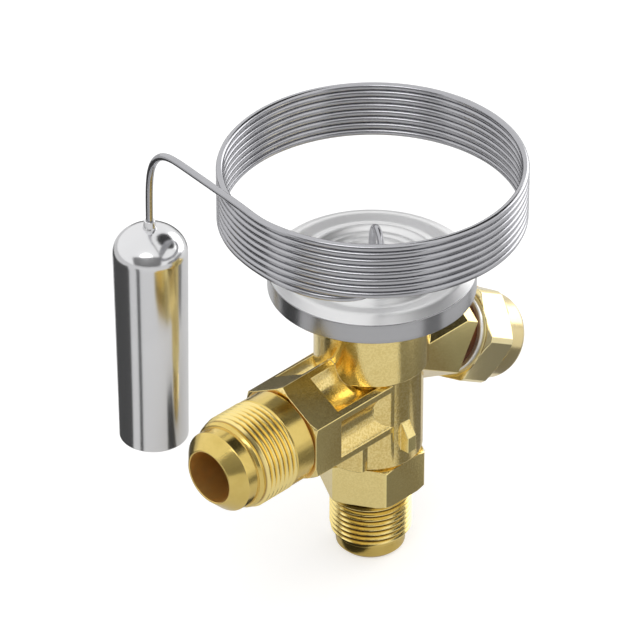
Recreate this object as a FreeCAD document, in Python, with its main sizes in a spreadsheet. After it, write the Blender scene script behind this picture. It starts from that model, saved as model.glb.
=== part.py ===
import FreeCAD, Part

# Thermostatic expansion valve with a coiled capillary and a sensing bulb.
# Millimetres. The origin is the centre of the inlet flare's mouth, +Z runs up the valve axis,
# the outlet points to -X and the setting spindle slopes down towards +X.

import math
import os
from types import SimpleNamespace

import Sketcher

Vector = FreeCAD.Vector

SIZES = {
    # inlet flare, 3/4-16 UNF, at the bottom of the forging
    "inlet_bore_r": 5.2,
    "inlet_lip_r": 6.9,
    "inlet_stub_r": 8.08,
    "inlet_stub_top": 3.9,
    "inlet_thread_r": 9.525,
    "inlet_thread_low": 4.8,
    "inlet_thread_high": 15.3,
    "inlet_relief_r": 8.6,
    "inlet_hex_low": 17.5,
    "inlet_hex_high": 27.8,
    "thread_run_out": 0.6,
    # hexagons of the forging
    "hex_across": 22.0,
    "hex_chamfer_r": 11.7,
    "hex_turned_r": 13.4,
    # barrel and neck
    "barrel_r": 11.9,
    "barrel_core_r": 10.6,
    "barrel_low": 27.4,
    "barrel_bevel": 1.3,
    "neck_r": 13.2,
    "neck_low": 51.9,
    "neck_high": 71.4,
    "neck_round": 0.6,
    "pad_r": 13.3,
    "pad_half_width": 7.7,
    "pad_low": 28.6,
    "lug_x": -1.1,
    "lug_half_width": 1.3,
    "lug_reach": 14.0,
    "lug_low": 32.9,
    "lug_shoulder": 36.9,
    "lug_high": 40.2,
    # outlet flare, 7/8-14 UNF, measured inwards from its mouth
    "outlet_z": 44.9,
    "outlet_reach": 52.0,
    "outlet_bore_r": 6.2,
    "outlet_bore_depth": 57.0,
    "drill_tip": 3.0,
    "outlet_lip_r": 6.6,
    "outlet_nose_r": 9.6,
    "outlet_nose_end": 6.0,
    "outlet_thread_r": 11.11,
    "outlet_thread_low": 7.5,
    "outlet_thread_high": 20.5,
    "outlet_relief_r": 10.0,
    "outlet_hex_low": 22.7,
    "outlet_hex_high": 51.0,
    "outlet_core_low": 24.2,
    "outlet_core_r": 7.6,
    "trough_low": 31.0,
    "trough_r": 6.0,
    "trough_centre": 14.46,
    # spindle arm, measured outwards from where its axis meets the valve axis
    "slope_from_up": 120.0,
    "cross_z": 61.3,
    "arm_low": 4.0,
    "arm_high": 23.73,
    "arm_reach": 28.0,
    "arm_roof_z": 63.25,
    "arm_roof_half": 13.0,
    "spigot_low": 6.0,
    "spigot_r": 9.2,
    "spigot_high": 28.23,
    "cap_thread_r": 8.0,
    "cap_relief_r": 7.2,
    "cap_thread_low": 29.0,
    "cap_thread_high": 36.7,
    "thread_bevel": 0.8,
    # bores inside the forging, and how far a cutter reaches past what it cuts
    "overshoot": 1.0,
    "cartridge_seat_z": 31.7,
    "cartridge_nose_r": 4.2,
    "guide_hole_r": 3.0,
    "spring_room_low": 55.9,
    "spring_room_r": 9.5,
    "gasket_seat_z": 64.9,
    "head_thread_r": 11.4,
    "pin_bore_low": 2.5,
    "pin_bore_r": 2.65,
    "bush_low": 10.0,
    "bush_high": 16.0,
    "bush_r": 4.5,
    "gland_r": 6.0,
    # orifice cartridge, strainer and plunger
    "orifice_r": 1.6,
    "orifice_low": 36.3,
    "cartridge_high": 37.7,
    "cartridge_low": 25.7,
    "cartridge_bore_r": 3.2,
    "groove_low": 28.0,
    "groove_high": 29.8,
    "groove_r": 4.2,
    "strainer_high": 25.5,
    "strainer_ring": 2.2,
    "strainer_low": 7.7,
    "strainer_tip_r": 1.7,
    "strainer_wall": 0.4,
    "cone_r": 2.7,
    "cone_tip_r": 1.3,
    "cone_low": 32.2,
    "rod_small_r": 0.9,
    "rod_low": 31.6,
    "rod_step_z": 40.7,
    "rod_step": 0.3,
    "rod_r": 1.2,
    "rod_high": 73.1,
    "rod_guide_low": 51.5,
    "slip": 0.05,
    "contact_gap": 0.02,
    # spring and its two seats
    "seat_low": 60.12,
    "seat_thick": 1.8,
    "seat_r": 9.0,
    "seat_hub_r": 5.4,
    "seat_hub": 1.0,
    "seat_hole_r": 1.7,
    "spring_r": 6.5,
    "spring_wire": 1.3,
    "spring_turns": 3.0,
    "pad_disc_low": 72.15,
    "pad_disc_high": 74.1,
    "pad_disc_r": 8.0,
    # setting pin, spindle, bush, gland and cap, outwards from the crossing of the two axes
    "ball_centre": 7.4,
    "ball_r": 2.5,
    "pin_flat": 2.0,
    "pin_shoulder": 13.6,
    "pin_tail_r": 1.95,
    "pin_tail_high": 22.0,
    "spindle_low": 16.05,
    "spindle_collar_r": 5.7,
    "spindle_collar_high": 19.0,
    "spindle_r": 3.0,
    "spindle_shoulder": 34.5,
    "spindle_high": 39.0,
    "spindle_square": 3.9,
    "spindle_bore_r": 2.0,
    "spindle_bore_high": 26.0,
    "gland_low": 19.05,
    "gland_high": 31.0,
    "gland_groove_low": 24.0,
    "gland_groove_high": 26.2,
    "gland_groove_r": 4.5,
    "gland_socket_r": 4.6,
    "gland_socket_low": 29.0,
    "washer_r": 10.3,
    "washer_bore_r": 8.15,
    "washer_high": 29.63,
    "cap_low": 29.65,
    "cap_across": 21.6,
    "cap_corner_r": 12.1,
    "cap_chamfer_r": 10.8,
    "cap_turned_r": 13.0,
    "cap_hex_high": 39.4,
    "cap_end_low": 38.4,
    "cap_end_r": 10.1,
    "cap_high": 46.9,
    "cap_round": 1.6,
    "cap_knee": 0.47,
    "cap_bore_r": 8.05,
    "cap_bore_high": 38.0,
    "cap_pocket_r": 5.0,
    "cap_pocket_high": 42.0,
    "cap_turn": 17.5,
    # diaphragm head
    "head_r": 23.6,
    "head_edge": 0.7,
    "gasket_thick": 0.5,
    "head_bore_r": 9.5,
    "head_dish_z": 71.9,
    "head_dish_r": 19.5,
    "rim_inner_r": 20.5,
    "split_z": 74.2,
    "diaphragm_thick": 0.25,
    "cover_band_z": 76.1,
    "cover_shoulder_r": 23.2,
    "cover_shoulder_z": 77.1,
    "cover_rim_r": 22.2,
    "cover_rim_z": 77.5,
    "cover_valley_r": 17.2,
    "cover_valley_z": 76.9,
    "ridge_r": 15.0,
    "ridge_z": 78.3,
    "wave_r": 12.4,
    "wave_step": 2.6,
    "wave_half": 0.9,
    "wave_rise": 0.45,
    "cover_floor_z": 77.0,
    "cover_ceiling_z": 75.4,
    "cover_hole_r": 1.6,
    "ferrule_r": 2.5,
    "ferrule_high": 79.1,
    "ferrule_tip_z": 80.3,
    "ferrule_tip_r": 1.3,
    "ferrule_bore_r": 0.9,
    # capillary
    "wire_r": 0.8,
    "turn_r": 34.0,
    "turn_pitch": 1.735,
    "turn_count": 8.0,
    "coil_low": 90.23,
    "coil_start": 169.3,
    "lead_bend": 34.0,
    "lead_overlap": 0.7,
    "run_bend": 11.0,
    "run_drop": 2.8,
    "run_overlap": 0.4,
    # sensing bulb
    "bulb_x": -25.9,
    "bulb_y": 44.9,
    "bulb_low": 21.4,
    "bulb_low_r": 8.05,
    "bulb_shoulder_z": 71.7,
    "bulb_shoulder_r": 8.65,
    "bulb_dome_z": 78.4,
    "bulb_edge": 0.5,
    "bulb_collar_r": 1.6,
    "bulb_collar_high": 80.9,
}

document = FreeCAD.newDocument("expansion_valve")
sheet = document.addObject("Spreadsheet::Sheet", "Sizes")
for row, (alias, number) in enumerate(SIZES.items(), start=1):
    sheet.set(f"A{row}", alias.replace("_", " "))
    sheet.set(f"B{row}", str(number))
    sheet.setAlias(f"B{row}", alias)
document.recompute()


class Length:
    """A length and the sheet expression that it comes from, so that a feature can be bound to it."""

    def __init__(self, value, text):
        self.value = float(value)
        self.text = text

    @staticmethod
    def of(other):
        return other if isinstance(other, Length) else Length(other, repr(float(other)))

    def joined(self, sign, other, value):
        return Length(value, f"({self.text} {sign} {Length.of(other).text})")

    def __add__(self, other):
        return self.joined("+", other, self.value + Length.of(other).value)

    def __sub__(self, other):
        return self.joined("-", other, self.value - Length.of(other).value)

    def __mul__(self, other):
        return self.joined("*", other, self.value * Length.of(other).value)

    def __truediv__(self, other):
        return self.joined("/", other, self.value / Length.of(other).value)

    def __neg__(self):
        return Length(-self.value, f"(0 - {self.text})")


mm = SimpleNamespace(**{alias: Length(sheet.get(alias), f"Sizes.{alias}") for alias in SIZES})


def origin_plane(body, role):
    """The body's own origin plane or axis with this role."""
    return next(feature for feature in body.Origin.OriginFeatures if feature.Role == role)


def new_sketch(body, name, role, lift=None):
    """A sketch on one of the body's origin planes, lifted along the plane's normal."""
    sketch = body.newObject("Sketcher::SketchObject", name)
    sketch.AttachmentSupport = (origin_plane(body, role), [""])
    sketch.MapMode = "FlatFace"
    if lift is not None:
        sketch.AttachmentOffset = FreeCAD.Placement(Vector(0, 0, lift.value), FreeCAD.Rotation())
        sketch.setExpression("AttachmentOffset.Base.z", lift.text)
    return sketch


def tie(sketch, edge, position, corner):
    """Ties one end of an edge to the sketch's origin by a bound distance each way."""
    for coordinate, direction, axis in ((corner[0], "X", -2), (corner[1], "Y", -1)):
        measure = Length.of(coordinate)
        if measure.value == 0:
            sketch.addConstraint(Sketcher.Constraint("PointOnObject", edge, position, axis))
            continue
        kind = "Distance" + direction
        constraint = Sketcher.Constraint(kind, -1, 1, edge, position, measure.value)
        number = sketch.addConstraint(constraint)
        if isinstance(coordinate, Length):
            sketch.setExpression(f"Constraints[{number}]", measure.text)


def bowed(start, end, radius):
    """The short arc from start to end, with its centre to the left of the way."""
    chord = end - start
    side = Vector(-chord.y, chord.x, 0).normalize()
    depth = math.sqrt(radius * radius - chord.Length ** 2 / 4)
    crown = (start + end) * 0.5 + side * (depth - radius)
    return Part.Arc(start, crown, end)


def draw_outline(sketch, outline):
    """A closed outline of (x, y) corners, run anticlockwise; a third value rounds the next edge outwards."""
    corners = [Vector(Length.of(point[0]).value, Length.of(point[1]).value, 0) for point in outline]
    count = len(outline)
    for index, point in enumerate(outline):
        start, end = corners[index], corners[(index + 1) % count]
        if len(point) == 3:
            sketch.addGeometry(bowed(start, end, point[2].value), False)
        else:
            sketch.addGeometry(Part.LineSegment(start, end), False)
    for index, point in enumerate(outline):
        sketch.addConstraint(Sketcher.Constraint("Coincident", index, 2, (index + 1) % count, 1))
        tie(sketch, index, 1, point)
        if len(point) == 3:
            number = sketch.addConstraint(Sketcher.Constraint("Radius", index, point[2].value))
            sketch.setExpression(f"Constraints[{number}]", point[2].text)


def new_body(label):
    """An empty body with this label."""
    body = document.addObject("PartDesign::Body", label)
    body.Label = label
    return body


def turn(body, outline, kind="Revolution"):
    """Revolves an outline of (radius, height) corners about the body's Z axis, or cuts it as a groove."""
    sketch = new_sketch(body, f"{body.Label}_{kind.lower()}_outline", "XZ_Plane")
    draw_outline(sketch, outline)
    feature = body.newObject(f"PartDesign::{kind}", f"{body.Label}_{kind.lower()}")
    feature.Profile = sketch
    feature.ReferenceAxis = (sketch, ["V_Axis"])
    feature.Angle = 360
    return feature


def turned(label, outline):
    """A body that is one turned piece."""
    body = new_body(label)
    turn(body, outline)
    return body


def regular_sketch(body, name, sides, corner_r, lift, corner_on_x=True):
    """A regular polygon about the sketch's origin, on a plane parallel to XY."""
    sketch = new_sketch(body, name, "XY_Plane", lift)
    start = 0 if corner_on_x else math.pi / 2
    corners = [
        Vector(
            corner_r.value * math.cos(start + math.tau * side / sides),
            corner_r.value * math.sin(start + math.tau * side / sides),
            0,
        )
        for side in range(sides)
    ]
    for side in range(sides):
        sketch.addGeometry(Part.LineSegment(corners[side], corners[(side + 1) % sides]), False)
    rim = sketch.addGeometry(Part.Circle(Vector(0, 0, 0), Vector(0, 0, 1), corner_r.value), True)
    sketch.addConstraint(Sketcher.Constraint("Coincident", rim, 3, -1, 1))
    radius = sketch.addConstraint(Sketcher.Constraint("Radius", rim, corner_r.value))
    sketch.setExpression(f"Constraints[{radius}]", corner_r.text)
    for side in range(sides):
        sketch.addConstraint(Sketcher.Constraint("Coincident", side, 2, (side + 1) % sides, 1))
        sketch.addConstraint(Sketcher.Constraint("PointOnObject", side, 1, rim))
    for side in range(1, sides):
        sketch.addConstraint(Sketcher.Constraint("Equal", 0, side))
    sketch.addConstraint(Sketcher.Constraint("PointOnObject", 0, 1, -1 if corner_on_x else -2))
    return sketch


def pad_regular(body, sides, corner_r, low, high):
    """Pads a regular bar from one height to another along the body's Z axis."""
    name = f"{body.Label}_bar"
    sketch = regular_sketch(body, name + "_outline", sides, corner_r, low)
    pad = body.newObject("PartDesign::Pad", name)
    pad.Profile = sketch
    pad.Length = high.value - low.value
    pad.setExpression("Length", (high - low).text)
    return pad


def corner_radius(across):
    """The corner radius of a hexagon with this size across its flats."""
    return across / math.sqrt(3)


def bevel_outline(flat_r, outer_r, end, inwards):
    """The triangle that a 30 degree bevel takes off the end of a hexagon bar."""
    rise = (outer_r - flat_r) * math.tan(math.radians(30)) * inwards
    return [(flat_r, end), (outer_r, end), (outer_r, end + rise)]


def hexagon_bar(label, across, low, high, ends, flat_r, outer_r):
    """A hexagon bar along the body's Z axis, beveled at the named ends."""
    body = new_body(label)
    pad_regular(body, 6, corner_radius(across), low, high)
    if "low" in ends:
        turn(body, bevel_outline(flat_r, outer_r, low, 1), "Groove")
    if "high" in ends:
        turn(body, bevel_outline(flat_r, outer_r, high, -1)[::-1], "Groove")
    return body


def boolean(kind, label, base, tool):
    """A Part::Cut or Part::Common of two objects."""
    result = document.addObject(f"Part::{kind}", label)
    result.Label = label
    result.Base = base
    result.Tool = tool
    result.Refine = True
    return result


def fused(label, *pieces):
    """One solid out of several objects."""
    result = document.addObject("Part::MultiFuse", label)
    result.Label = label
    result.Shapes = list(pieces)
    result.Refine = True
    return result


def box(label, low, high):
    """A box between two corners."""
    result = document.addObject("Part::Box", label)
    for edge, axis, bottom, top in zip(("Length", "Width", "Height"), "xyz", low, high):
        result.setExpression(edge, (Length.of(top) - bottom).text)
        result.setExpression(f"Placement.Base.{axis}", Length.of(bottom).text)
    return result


def cylinder(label, radius, low, high):
    """An upright cylinder on the valve axis."""
    result = document.addObject("Part::Cylinder", label)
    result.setExpression("Radius", radius.text)
    result.setExpression("Height", (high - low).text)
    result.setExpression("Placement.Base.z", low.text)
    return result


def lay_on_outlet(piece):
    """Places a piece made along Z so that it runs inwards from the outlet's mouth."""
    rotation = FreeCAD.Rotation(Vector(0, 1, 0), 90)
    base = Vector(-mm.outlet_reach.value, 0, mm.outlet_z.value)
    piece.Placement = FreeCAD.Placement(base, rotation)
    return piece


def lay_on_spindle(piece, turn_degrees=0):
    """Places a piece made along Z so that it runs outwards on the sloping spindle axis."""
    slope = FreeCAD.Rotation(Vector(0, 1, 0), mm.slope_from_up.value)
    own_turn = FreeCAD.Rotation(Vector(0, 0, 1), turn_degrees)
    piece.Placement = FreeCAD.Placement(Vector(0, 0, mm.cross_z.value), slope.multiply(own_turn))
    return piece


# the forging

def inlet_and_barrel():
    """The turned core of the forging: flare stub, thread, barrel and neck."""
    flare_top = mm.inlet_stub_r - mm.inlet_lip_r
    return turned("barrel_core", [
        (0, 0),
        (mm.inlet_lip_r, 0),
        (mm.inlet_stub_r, flare_top),
        (mm.inlet_stub_r, mm.inlet_stub_top),
        (mm.inlet_relief_r, mm.inlet_stub_top),
        (mm.inlet_thread_r, mm.inlet_thread_low),
        (mm.inlet_thread_r, mm.inlet_thread_high),
        (mm.inlet_relief_r, mm.inlet_thread_high + mm.thread_run_out),
        (mm.inlet_relief_r, mm.inlet_hex_low),
        (mm.barrel_core_r, mm.inlet_hex_low),
        (mm.barrel_core_r, mm.barrel_low),
        (mm.barrel_r, mm.barrel_low + mm.barrel_bevel),
        (mm.barrel_r, mm.neck_low),
        (mm.neck_r - mm.neck_round, mm.neck_low),
        (mm.neck_r, mm.neck_low + mm.neck_round),
        (mm.neck_r, mm.neck_high),
        (0, mm.neck_high),
    ])


def outlet_arm():
    """The outlet arm: a hexagon with a forged trough in each flat behind a turned flare."""
    body = new_body("outlet_arm")
    pad_regular(body, 6, corner_radius(mm.hex_across), mm.outlet_hex_low, mm.outlet_hex_high)
    turn(body, bevel_outline(mm.hex_chamfer_r, mm.hex_turned_r, mm.outlet_hex_low, 1), "Groove")
    sketch = new_sketch(body, "trough_outline", "XY_Plane", mm.trough_low)
    circle = sketch.addGeometry(Part.Circle(Vector(0, 13, 0), Vector(0, 0, 1), 5), False)
    radius = sketch.addConstraint(Sketcher.Constraint("Radius", circle, mm.trough_r.value))
    sketch.setExpression(f"Constraints[{radius}]", mm.trough_r.text)
    sketch.addConstraint(Sketcher.Constraint("PointOnObject", circle, 3, -2))
    offset = Sketcher.Constraint("DistanceY", -1, 1, circle, 3, mm.trough_centre.value)
    number = sketch.addConstraint(offset)
    sketch.setExpression(f"Constraints[{number}]", mm.trough_centre.text)
    trough = body.newObject("PartDesign::Pocket", "trough")
    trough.Profile = sketch
    trough.Reversed = True
    trough.setExpression("Length", (mm.outlet_hex_high - mm.trough_low).text)
    document.recompute()
    troughs = body.newObject("PartDesign::PolarPattern", "troughs")
    troughs.Originals = [trough]
    troughs.Axis = (sketch, ["N_Axis"])
    troughs.Angle = 360
    troughs.Occurrences = 6
    body.Tip = troughs
    document.recompute()
    flare_top = mm.outlet_nose_r - mm.outlet_lip_r
    turn(body, [
        (0, 0),
        (mm.outlet_lip_r, 0),
        (mm.outlet_nose_r, flare_top),
        (mm.outlet_nose_r, mm.outlet_nose_end),
        (mm.outlet_relief_r, mm.outlet_nose_end),
        (mm.outlet_thread_r, mm.outlet_thread_low),
        (mm.outlet_thread_r, mm.outlet_thread_high),
        (mm.outlet_relief_r, mm.outlet_thread_high + mm.thread_run_out),
        (mm.outlet_relief_r, mm.outlet_core_low),
        (mm.outlet_core_r, mm.outlet_core_low),
        (mm.outlet_core_r, mm.outlet_hex_high),
        (0, mm.outlet_hex_high),
    ])
    return lay_on_outlet(body)


def arm_hexagon():
    """The sloping hexagon arm under the level roof that the forging dies leave over it."""
    bar = new_body("arm_bar")
    pad_regular(bar, 6, corner_radius(mm.hex_across), mm.arm_low, mm.arm_high)
    eaves_z = mm.arm_roof_z - mm.arm_roof_half * math.tan(math.radians(30))
    roofed = new_body("arm_roof")
    sketch = new_sketch(roofed, "arm_roof_outline", "YZ_Plane")
    draw_outline(sketch, [
        (-mm.arm_roof_half, 0),
        (mm.arm_roof_half, 0),
        (mm.arm_roof_half, eaves_z),
        (0, mm.arm_roof_z),
        (-mm.arm_roof_half, eaves_z),
    ])
    prism = roofed.newObject("PartDesign::Pad", "arm_roof_prism")
    prism.Profile = sketch
    prism.setExpression("Length", mm.arm_reach.text)
    return boolean("Common", "arm_hexagon", lay_on_spindle(bar), roofed)


def arm_spigot():
    """The turned spigot of the arm, with the thread that the seal cap screws on."""
    return lay_on_spindle(turned("arm_spigot", [
        (0, mm.spigot_low),
        (mm.spigot_r, mm.spigot_low),
        (mm.spigot_r, mm.spigot_high),
        (mm.cap_relief_r, mm.spigot_high),
        (mm.cap_thread_r, mm.cap_thread_low),
        (mm.cap_thread_r, mm.cap_thread_high - mm.thread_bevel),
        (mm.cap_thread_r - mm.thread_bevel, mm.cap_thread_high),
        (0, mm.cap_thread_high),
    ]))


def outlet_pad():
    """The raised sector between the outlet arm and the inlet hexagon."""
    drum = cylinder("outlet_pad_drum", mm.pad_r, mm.pad_low, mm.outlet_z)
    slab = box(
        "outlet_pad_slab",
        (-mm.pad_r, -mm.pad_half_width, mm.pad_low),
        (Length.of(0), mm.pad_half_width, mm.outlet_z),
    )
    return boolean("Common", "outlet_pad", drum, slab)


def side_lug():
    """The small lug with a sloped top on the front of the barrel."""
    body = new_body("side_lug")
    sketch = new_sketch(body, "side_lug_outline", "YZ_Plane")
    draw_outline(sketch, [
        (-mm.lug_reach, mm.lug_low),
        (-mm.barrel_core_r, mm.lug_low),
        (-mm.barrel_core_r, mm.lug_high),
        (-mm.barrel_r, mm.lug_high),
        (-mm.lug_reach, mm.lug_shoulder),
    ])
    lug = body.newObject("PartDesign::Pad", "side_lug_pad")
    lug.Profile = sketch
    lug.Midplane = True
    lug.setExpression("Length", (mm.lug_half_width * 2).text)
    body.setExpression("Placement.Base.x", mm.lug_x.text)
    return body


def valve_passages():
    """All the bores of the forging as one solid, to be cut out of it."""
    upright = turned("upright_passage", [
        (0, -mm.overshoot),
        (mm.inlet_bore_r, -mm.overshoot),
        (mm.inlet_bore_r, mm.cartridge_seat_z),
        (mm.cartridge_nose_r, mm.cartridge_seat_z),
        (mm.cartridge_nose_r, mm.outlet_z),
        (mm.guide_hole_r, mm.outlet_z),
        (mm.guide_hole_r, mm.spring_room_low),
        (mm.spring_room_r, mm.spring_room_low),
        (mm.spring_room_r, mm.gasket_seat_z),
        (mm.head_thread_r, mm.gasket_seat_z),
        (mm.head_thread_r, mm.neck_high + mm.overshoot),
        (0, mm.neck_high + mm.overshoot),
    ])
    level = lay_on_outlet(turned("outlet_passage", [
        (0, -mm.overshoot),
        (mm.outlet_bore_r, -mm.overshoot),
        (mm.outlet_bore_r, mm.outlet_bore_depth),
        (0, mm.outlet_bore_depth + mm.drill_tip),
    ]))
    sloping = lay_on_spindle(turned("spindle_passage", [
        (0, mm.pin_bore_low),
        (mm.pin_bore_r, mm.pin_bore_low),
        (mm.pin_bore_r, mm.bush_low),
        (mm.bush_r, mm.bush_low),
        (mm.bush_r, mm.bush_high),
        (mm.gland_r, mm.bush_high),
        (mm.gland_r, mm.cap_thread_high + mm.overshoot),
        (0, mm.cap_thread_high + mm.overshoot),
    ]))
    return fused("valve_passages", upright, level, sloping)


def valve_body():
    """The brass forging with its bores."""
    inlet_hexagon = hexagon_bar(
        "inlet_hexagon", mm.hex_across, mm.inlet_hex_low, mm.inlet_hex_high,
        ("low", "high"), mm.hex_chamfer_r, mm.hex_turned_r,
    )
    forging = fused(
        "forging", inlet_and_barrel(), inlet_hexagon, outlet_arm(), outlet_pad(), side_lug(),
        arm_hexagon(), arm_spigot(),
    )
    return boolean("Cut", "valve_body", forging, valve_passages())


# inlet side and plunger

def orifice_cartridge():
    """The orifice with its 45 degree seat, a flange and a ring groove."""
    seat_low = mm.orifice_low - mm.cartridge_bore_r + mm.orifice_r
    flange_r = mm.inlet_bore_r - mm.slip
    nose_r = mm.cartridge_nose_r - mm.slip
    return turned("orifice_cartridge", [
        (mm.cartridge_bore_r, mm.cartridge_low),
        (flange_r, mm.cartridge_low),
        (flange_r, mm.groove_low),
        (mm.groove_r, mm.groove_low),
        (mm.groove_r, mm.groove_high),
        (flange_r, mm.groove_high),
        (flange_r, mm.cartridge_seat_z),
        (nose_r, mm.cartridge_seat_z),
        (nose_r, mm.cartridge_high),
        (mm.orifice_r, mm.cartridge_high),
        (mm.orifice_r, mm.orifice_low),
        (mm.cartridge_bore_r, seat_low),
    ])


RING_BEVEL = 0.25  # part of a ring's width


def squeezed_ring(label, inner_r, outer_r, low, high):
    """A rubber ring flattened by its groove, with its corners off."""
    bevel = (outer_r - inner_r) * RING_BEVEL
    return turned(label, [
        (inner_r + bevel, low),
        (outer_r - bevel, low),
        (outer_r, low + bevel),
        (outer_r, high - bevel),
        (outer_r - bevel, high),
        (inner_r + bevel, high),
        (inner_r, high - bevel),
        (inner_r, low + bevel),
    ])


def inlet_strainer():
    """The cone strainer that hangs in the inlet from its ring under the cartridge."""
    ring_r = mm.inlet_bore_r - mm.slip
    ring_low = mm.strainer_high - mm.strainer_ring
    ring_inner = ring_r - mm.strainer_wall * 2
    return turned("inlet_strainer", [
        (0, mm.strainer_low),
        (mm.strainer_tip_r, mm.strainer_low),
        (ring_inner + mm.strainer_wall, ring_low),
        (ring_r, ring_low),
        (ring_r, mm.strainer_high),
        (ring_inner, mm.strainer_high),
        (ring_inner, ring_low),
        (mm.strainer_tip_r - mm.strainer_wall, mm.strainer_low + mm.strainer_wall),
        (0, mm.strainer_low + mm.strainer_wall),
    ])


def valve_cone():
    """The cone that closes on the orifice's seat from below."""
    seat_line = mm.orifice_low + mm.orifice_r - mm.contact_gap
    return turned("valve_cone", [
        (mm.rod_small_r, mm.cone_low),
        (mm.cone_r, mm.cone_low),
        (mm.cone_r, seat_line - mm.cone_r),
        (mm.cone_tip_r, seat_line - mm.cone_tip_r),
        (mm.rod_small_r, seat_line - mm.cone_tip_r),
    ])


def push_rod():
    """The rod that carries the diaphragm's push down to the cone."""
    return turned("push_rod", [
        (0, mm.rod_low),
        (mm.rod_small_r, mm.rod_low),
        (mm.rod_small_r, mm.rod_step_z),
        (mm.rod_r, mm.rod_step_z + mm.rod_step),
        (mm.rod_r, mm.rod_high),
        (0, mm.rod_high),
    ])


def rod_guide():
    """The bush that the push rod runs in."""
    return turned("rod_guide", [
        (mm.rod_r + mm.slip, mm.rod_guide_low),
        (mm.guide_hole_r, mm.rod_guide_low),
        (mm.guide_hole_r, mm.spring_room_low),
        (mm.rod_r + mm.slip, mm.spring_room_low),
    ])


def thrust_pad():
    """The pad between the push rod and the diaphragm, with a hub for the spring."""
    hub_low = mm.pad_disc_low - mm.seat_hub
    return turned("thrust_pad", [
        (mm.rod_r, hub_low),
        (mm.seat_hub_r, hub_low),
        (mm.seat_hub_r, mm.pad_disc_low),
        (mm.pad_disc_r, mm.pad_disc_low),
        (mm.pad_disc_r, mm.pad_disc_high),
        (0, mm.pad_disc_high),
        (0, mm.rod_high),
        (mm.rod_r, mm.rod_high),
    ])


# spring and setting gear

def spring_seat():
    """The lower spring seat, which the setting pin's ball end lifts."""
    top = mm.seat_low + mm.seat_thick
    return turned("spring_seat", [
        (mm.seat_hole_r, mm.seat_low),
        (mm.seat_r, mm.seat_low),
        (mm.seat_r, top),
        (mm.seat_hub_r, top),
        (mm.seat_hub_r, top + mm.seat_hub),
        (mm.seat_hole_r, top + mm.seat_hub),
    ])


def superheat_spring():
    """The square wire spring between the two pads."""
    wire = mm.spring_wire.value
    low = mm.seat_low.value + mm.seat_thick.value + wire / 2
    rise = mm.pad_disc_low.value - wire / 2 - low
    turns = mm.spring_turns.value
    helix = Part.Wire(Part.makeHelix(rise / turns, rise, mm.spring_r.value).Edges)
    corners = [(-1, -1), (1, -1), (1, 1), (-1, 1), (-1, -1)]
    section = Part.makePolygon([
        Vector(mm.spring_r.value + x * wire / 2, 0, z * wire / 2) for x, z in corners
    ])
    spring = document.addObject("Part::Feature", "superheat_spring")
    spring.Shape = helix.makePipeShell([section], True, True)
    spring.Placement = FreeCAD.Placement(Vector(0, 0, low), FreeCAD.Rotation())
    return spring


def flat_cutters(label, flat, reach_r, low, high):
    """Two slabs that mill a pair of flats on a piece lying on the spindle axis."""
    slabs = []
    for side in (-1, 1):
        inner, outer = sorted((side * flat.value, side * reach_r.value))
        slab = box(f"{label}_{'left' if side < 0 else 'right'}", (-reach_r, inner, low), (reach_r, outer, high))
        slabs.append(slab)
    return fused(label, *slabs)


def drive_pin():
    """The pin that doesn't turn: ball end, two flats in the bush and a threaded tail in the spindle."""
    ball_low = mm.ball_centre - mm.ball_r
    blank = turned("drive_pin_blank", [
        (0, ball_low, mm.ball_r),
        (mm.ball_r, mm.ball_centre),
        (mm.ball_r, mm.pin_shoulder),
        (mm.pin_tail_r, mm.pin_shoulder),
        (mm.pin_tail_r, mm.pin_tail_high),
        (0, mm.pin_tail_high),
    ])
    flats = flat_cutters(
        "pin_flats", mm.pin_flat, mm.ball_r + mm.overshoot, mm.ball_centre, mm.pin_shoulder + mm.overshoot,
    )
    return lay_on_spindle(boolean("Cut", "drive_pin", blank, flats))


def drive_guide():
    """The bush with a flat sided hole that keeps the pin from turning."""
    disc = turned("drive_guide_disc", [
        (0, mm.bush_low),
        (mm.bush_r, mm.bush_low),
        (mm.bush_r, mm.bush_high),
        (0, mm.bush_high),
    ])
    low, high = mm.bush_low - mm.overshoot, mm.bush_high + mm.overshoot
    hole = turned("drive_guide_hole_round", [
        (0, low),
        (mm.ball_r + mm.slip, low),
        (mm.ball_r + mm.slip, high),
        (0, high),
    ])
    half = mm.pin_flat + mm.slip
    slab = box("drive_guide_hole_flats", (-mm.bush_r, -half, low), (mm.bush_r, half, high))
    opening = boolean("Common", "drive_guide_hole", hole, slab)
    return lay_on_spindle(boolean("Cut", "drive_guide", disc, opening))


def setting_spindle():
    """The spindle that turns in place: collar, inner thread for the pin and a square end."""
    body = new_body("setting_spindle")
    turn(body, [
        (mm.spindle_bore_r, mm.spindle_low),
        (mm.spindle_collar_r, mm.spindle_low),
        (mm.spindle_collar_r, mm.spindle_collar_high),
        (mm.spindle_r, mm.spindle_collar_high),
        (mm.spindle_r, mm.spindle_shoulder),
        (0, mm.spindle_shoulder),
        (0, mm.spindle_bore_high),
        (mm.spindle_bore_r, mm.spindle_bore_high),
    ])
    document.recompute()
    pad_regular(body, 4, mm.spindle_square / math.sqrt(2), mm.spindle_shoulder, mm.spindle_high)
    return lay_on_spindle(body)


def packing_gland():
    """The gland that holds the spindle in, grooved inside for its ring."""
    return lay_on_spindle(turned("packing_gland", [
        (mm.spindle_r + mm.slip, mm.gland_low),
        (mm.gland_r, mm.gland_low),
        (mm.gland_r, mm.gland_high),
        (mm.gland_socket_r, mm.gland_high),
        (mm.gland_socket_r, mm.gland_socket_low),
        (mm.spindle_r + mm.slip, mm.gland_socket_low),
        (mm.spindle_r + mm.slip, mm.gland_groove_high),
        (mm.gland_groove_r, mm.gland_groove_high),
        (mm.gland_groove_r, mm.gland_groove_low),
        (mm.spindle_r + mm.slip, mm.gland_groove_low),
    ]))


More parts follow.
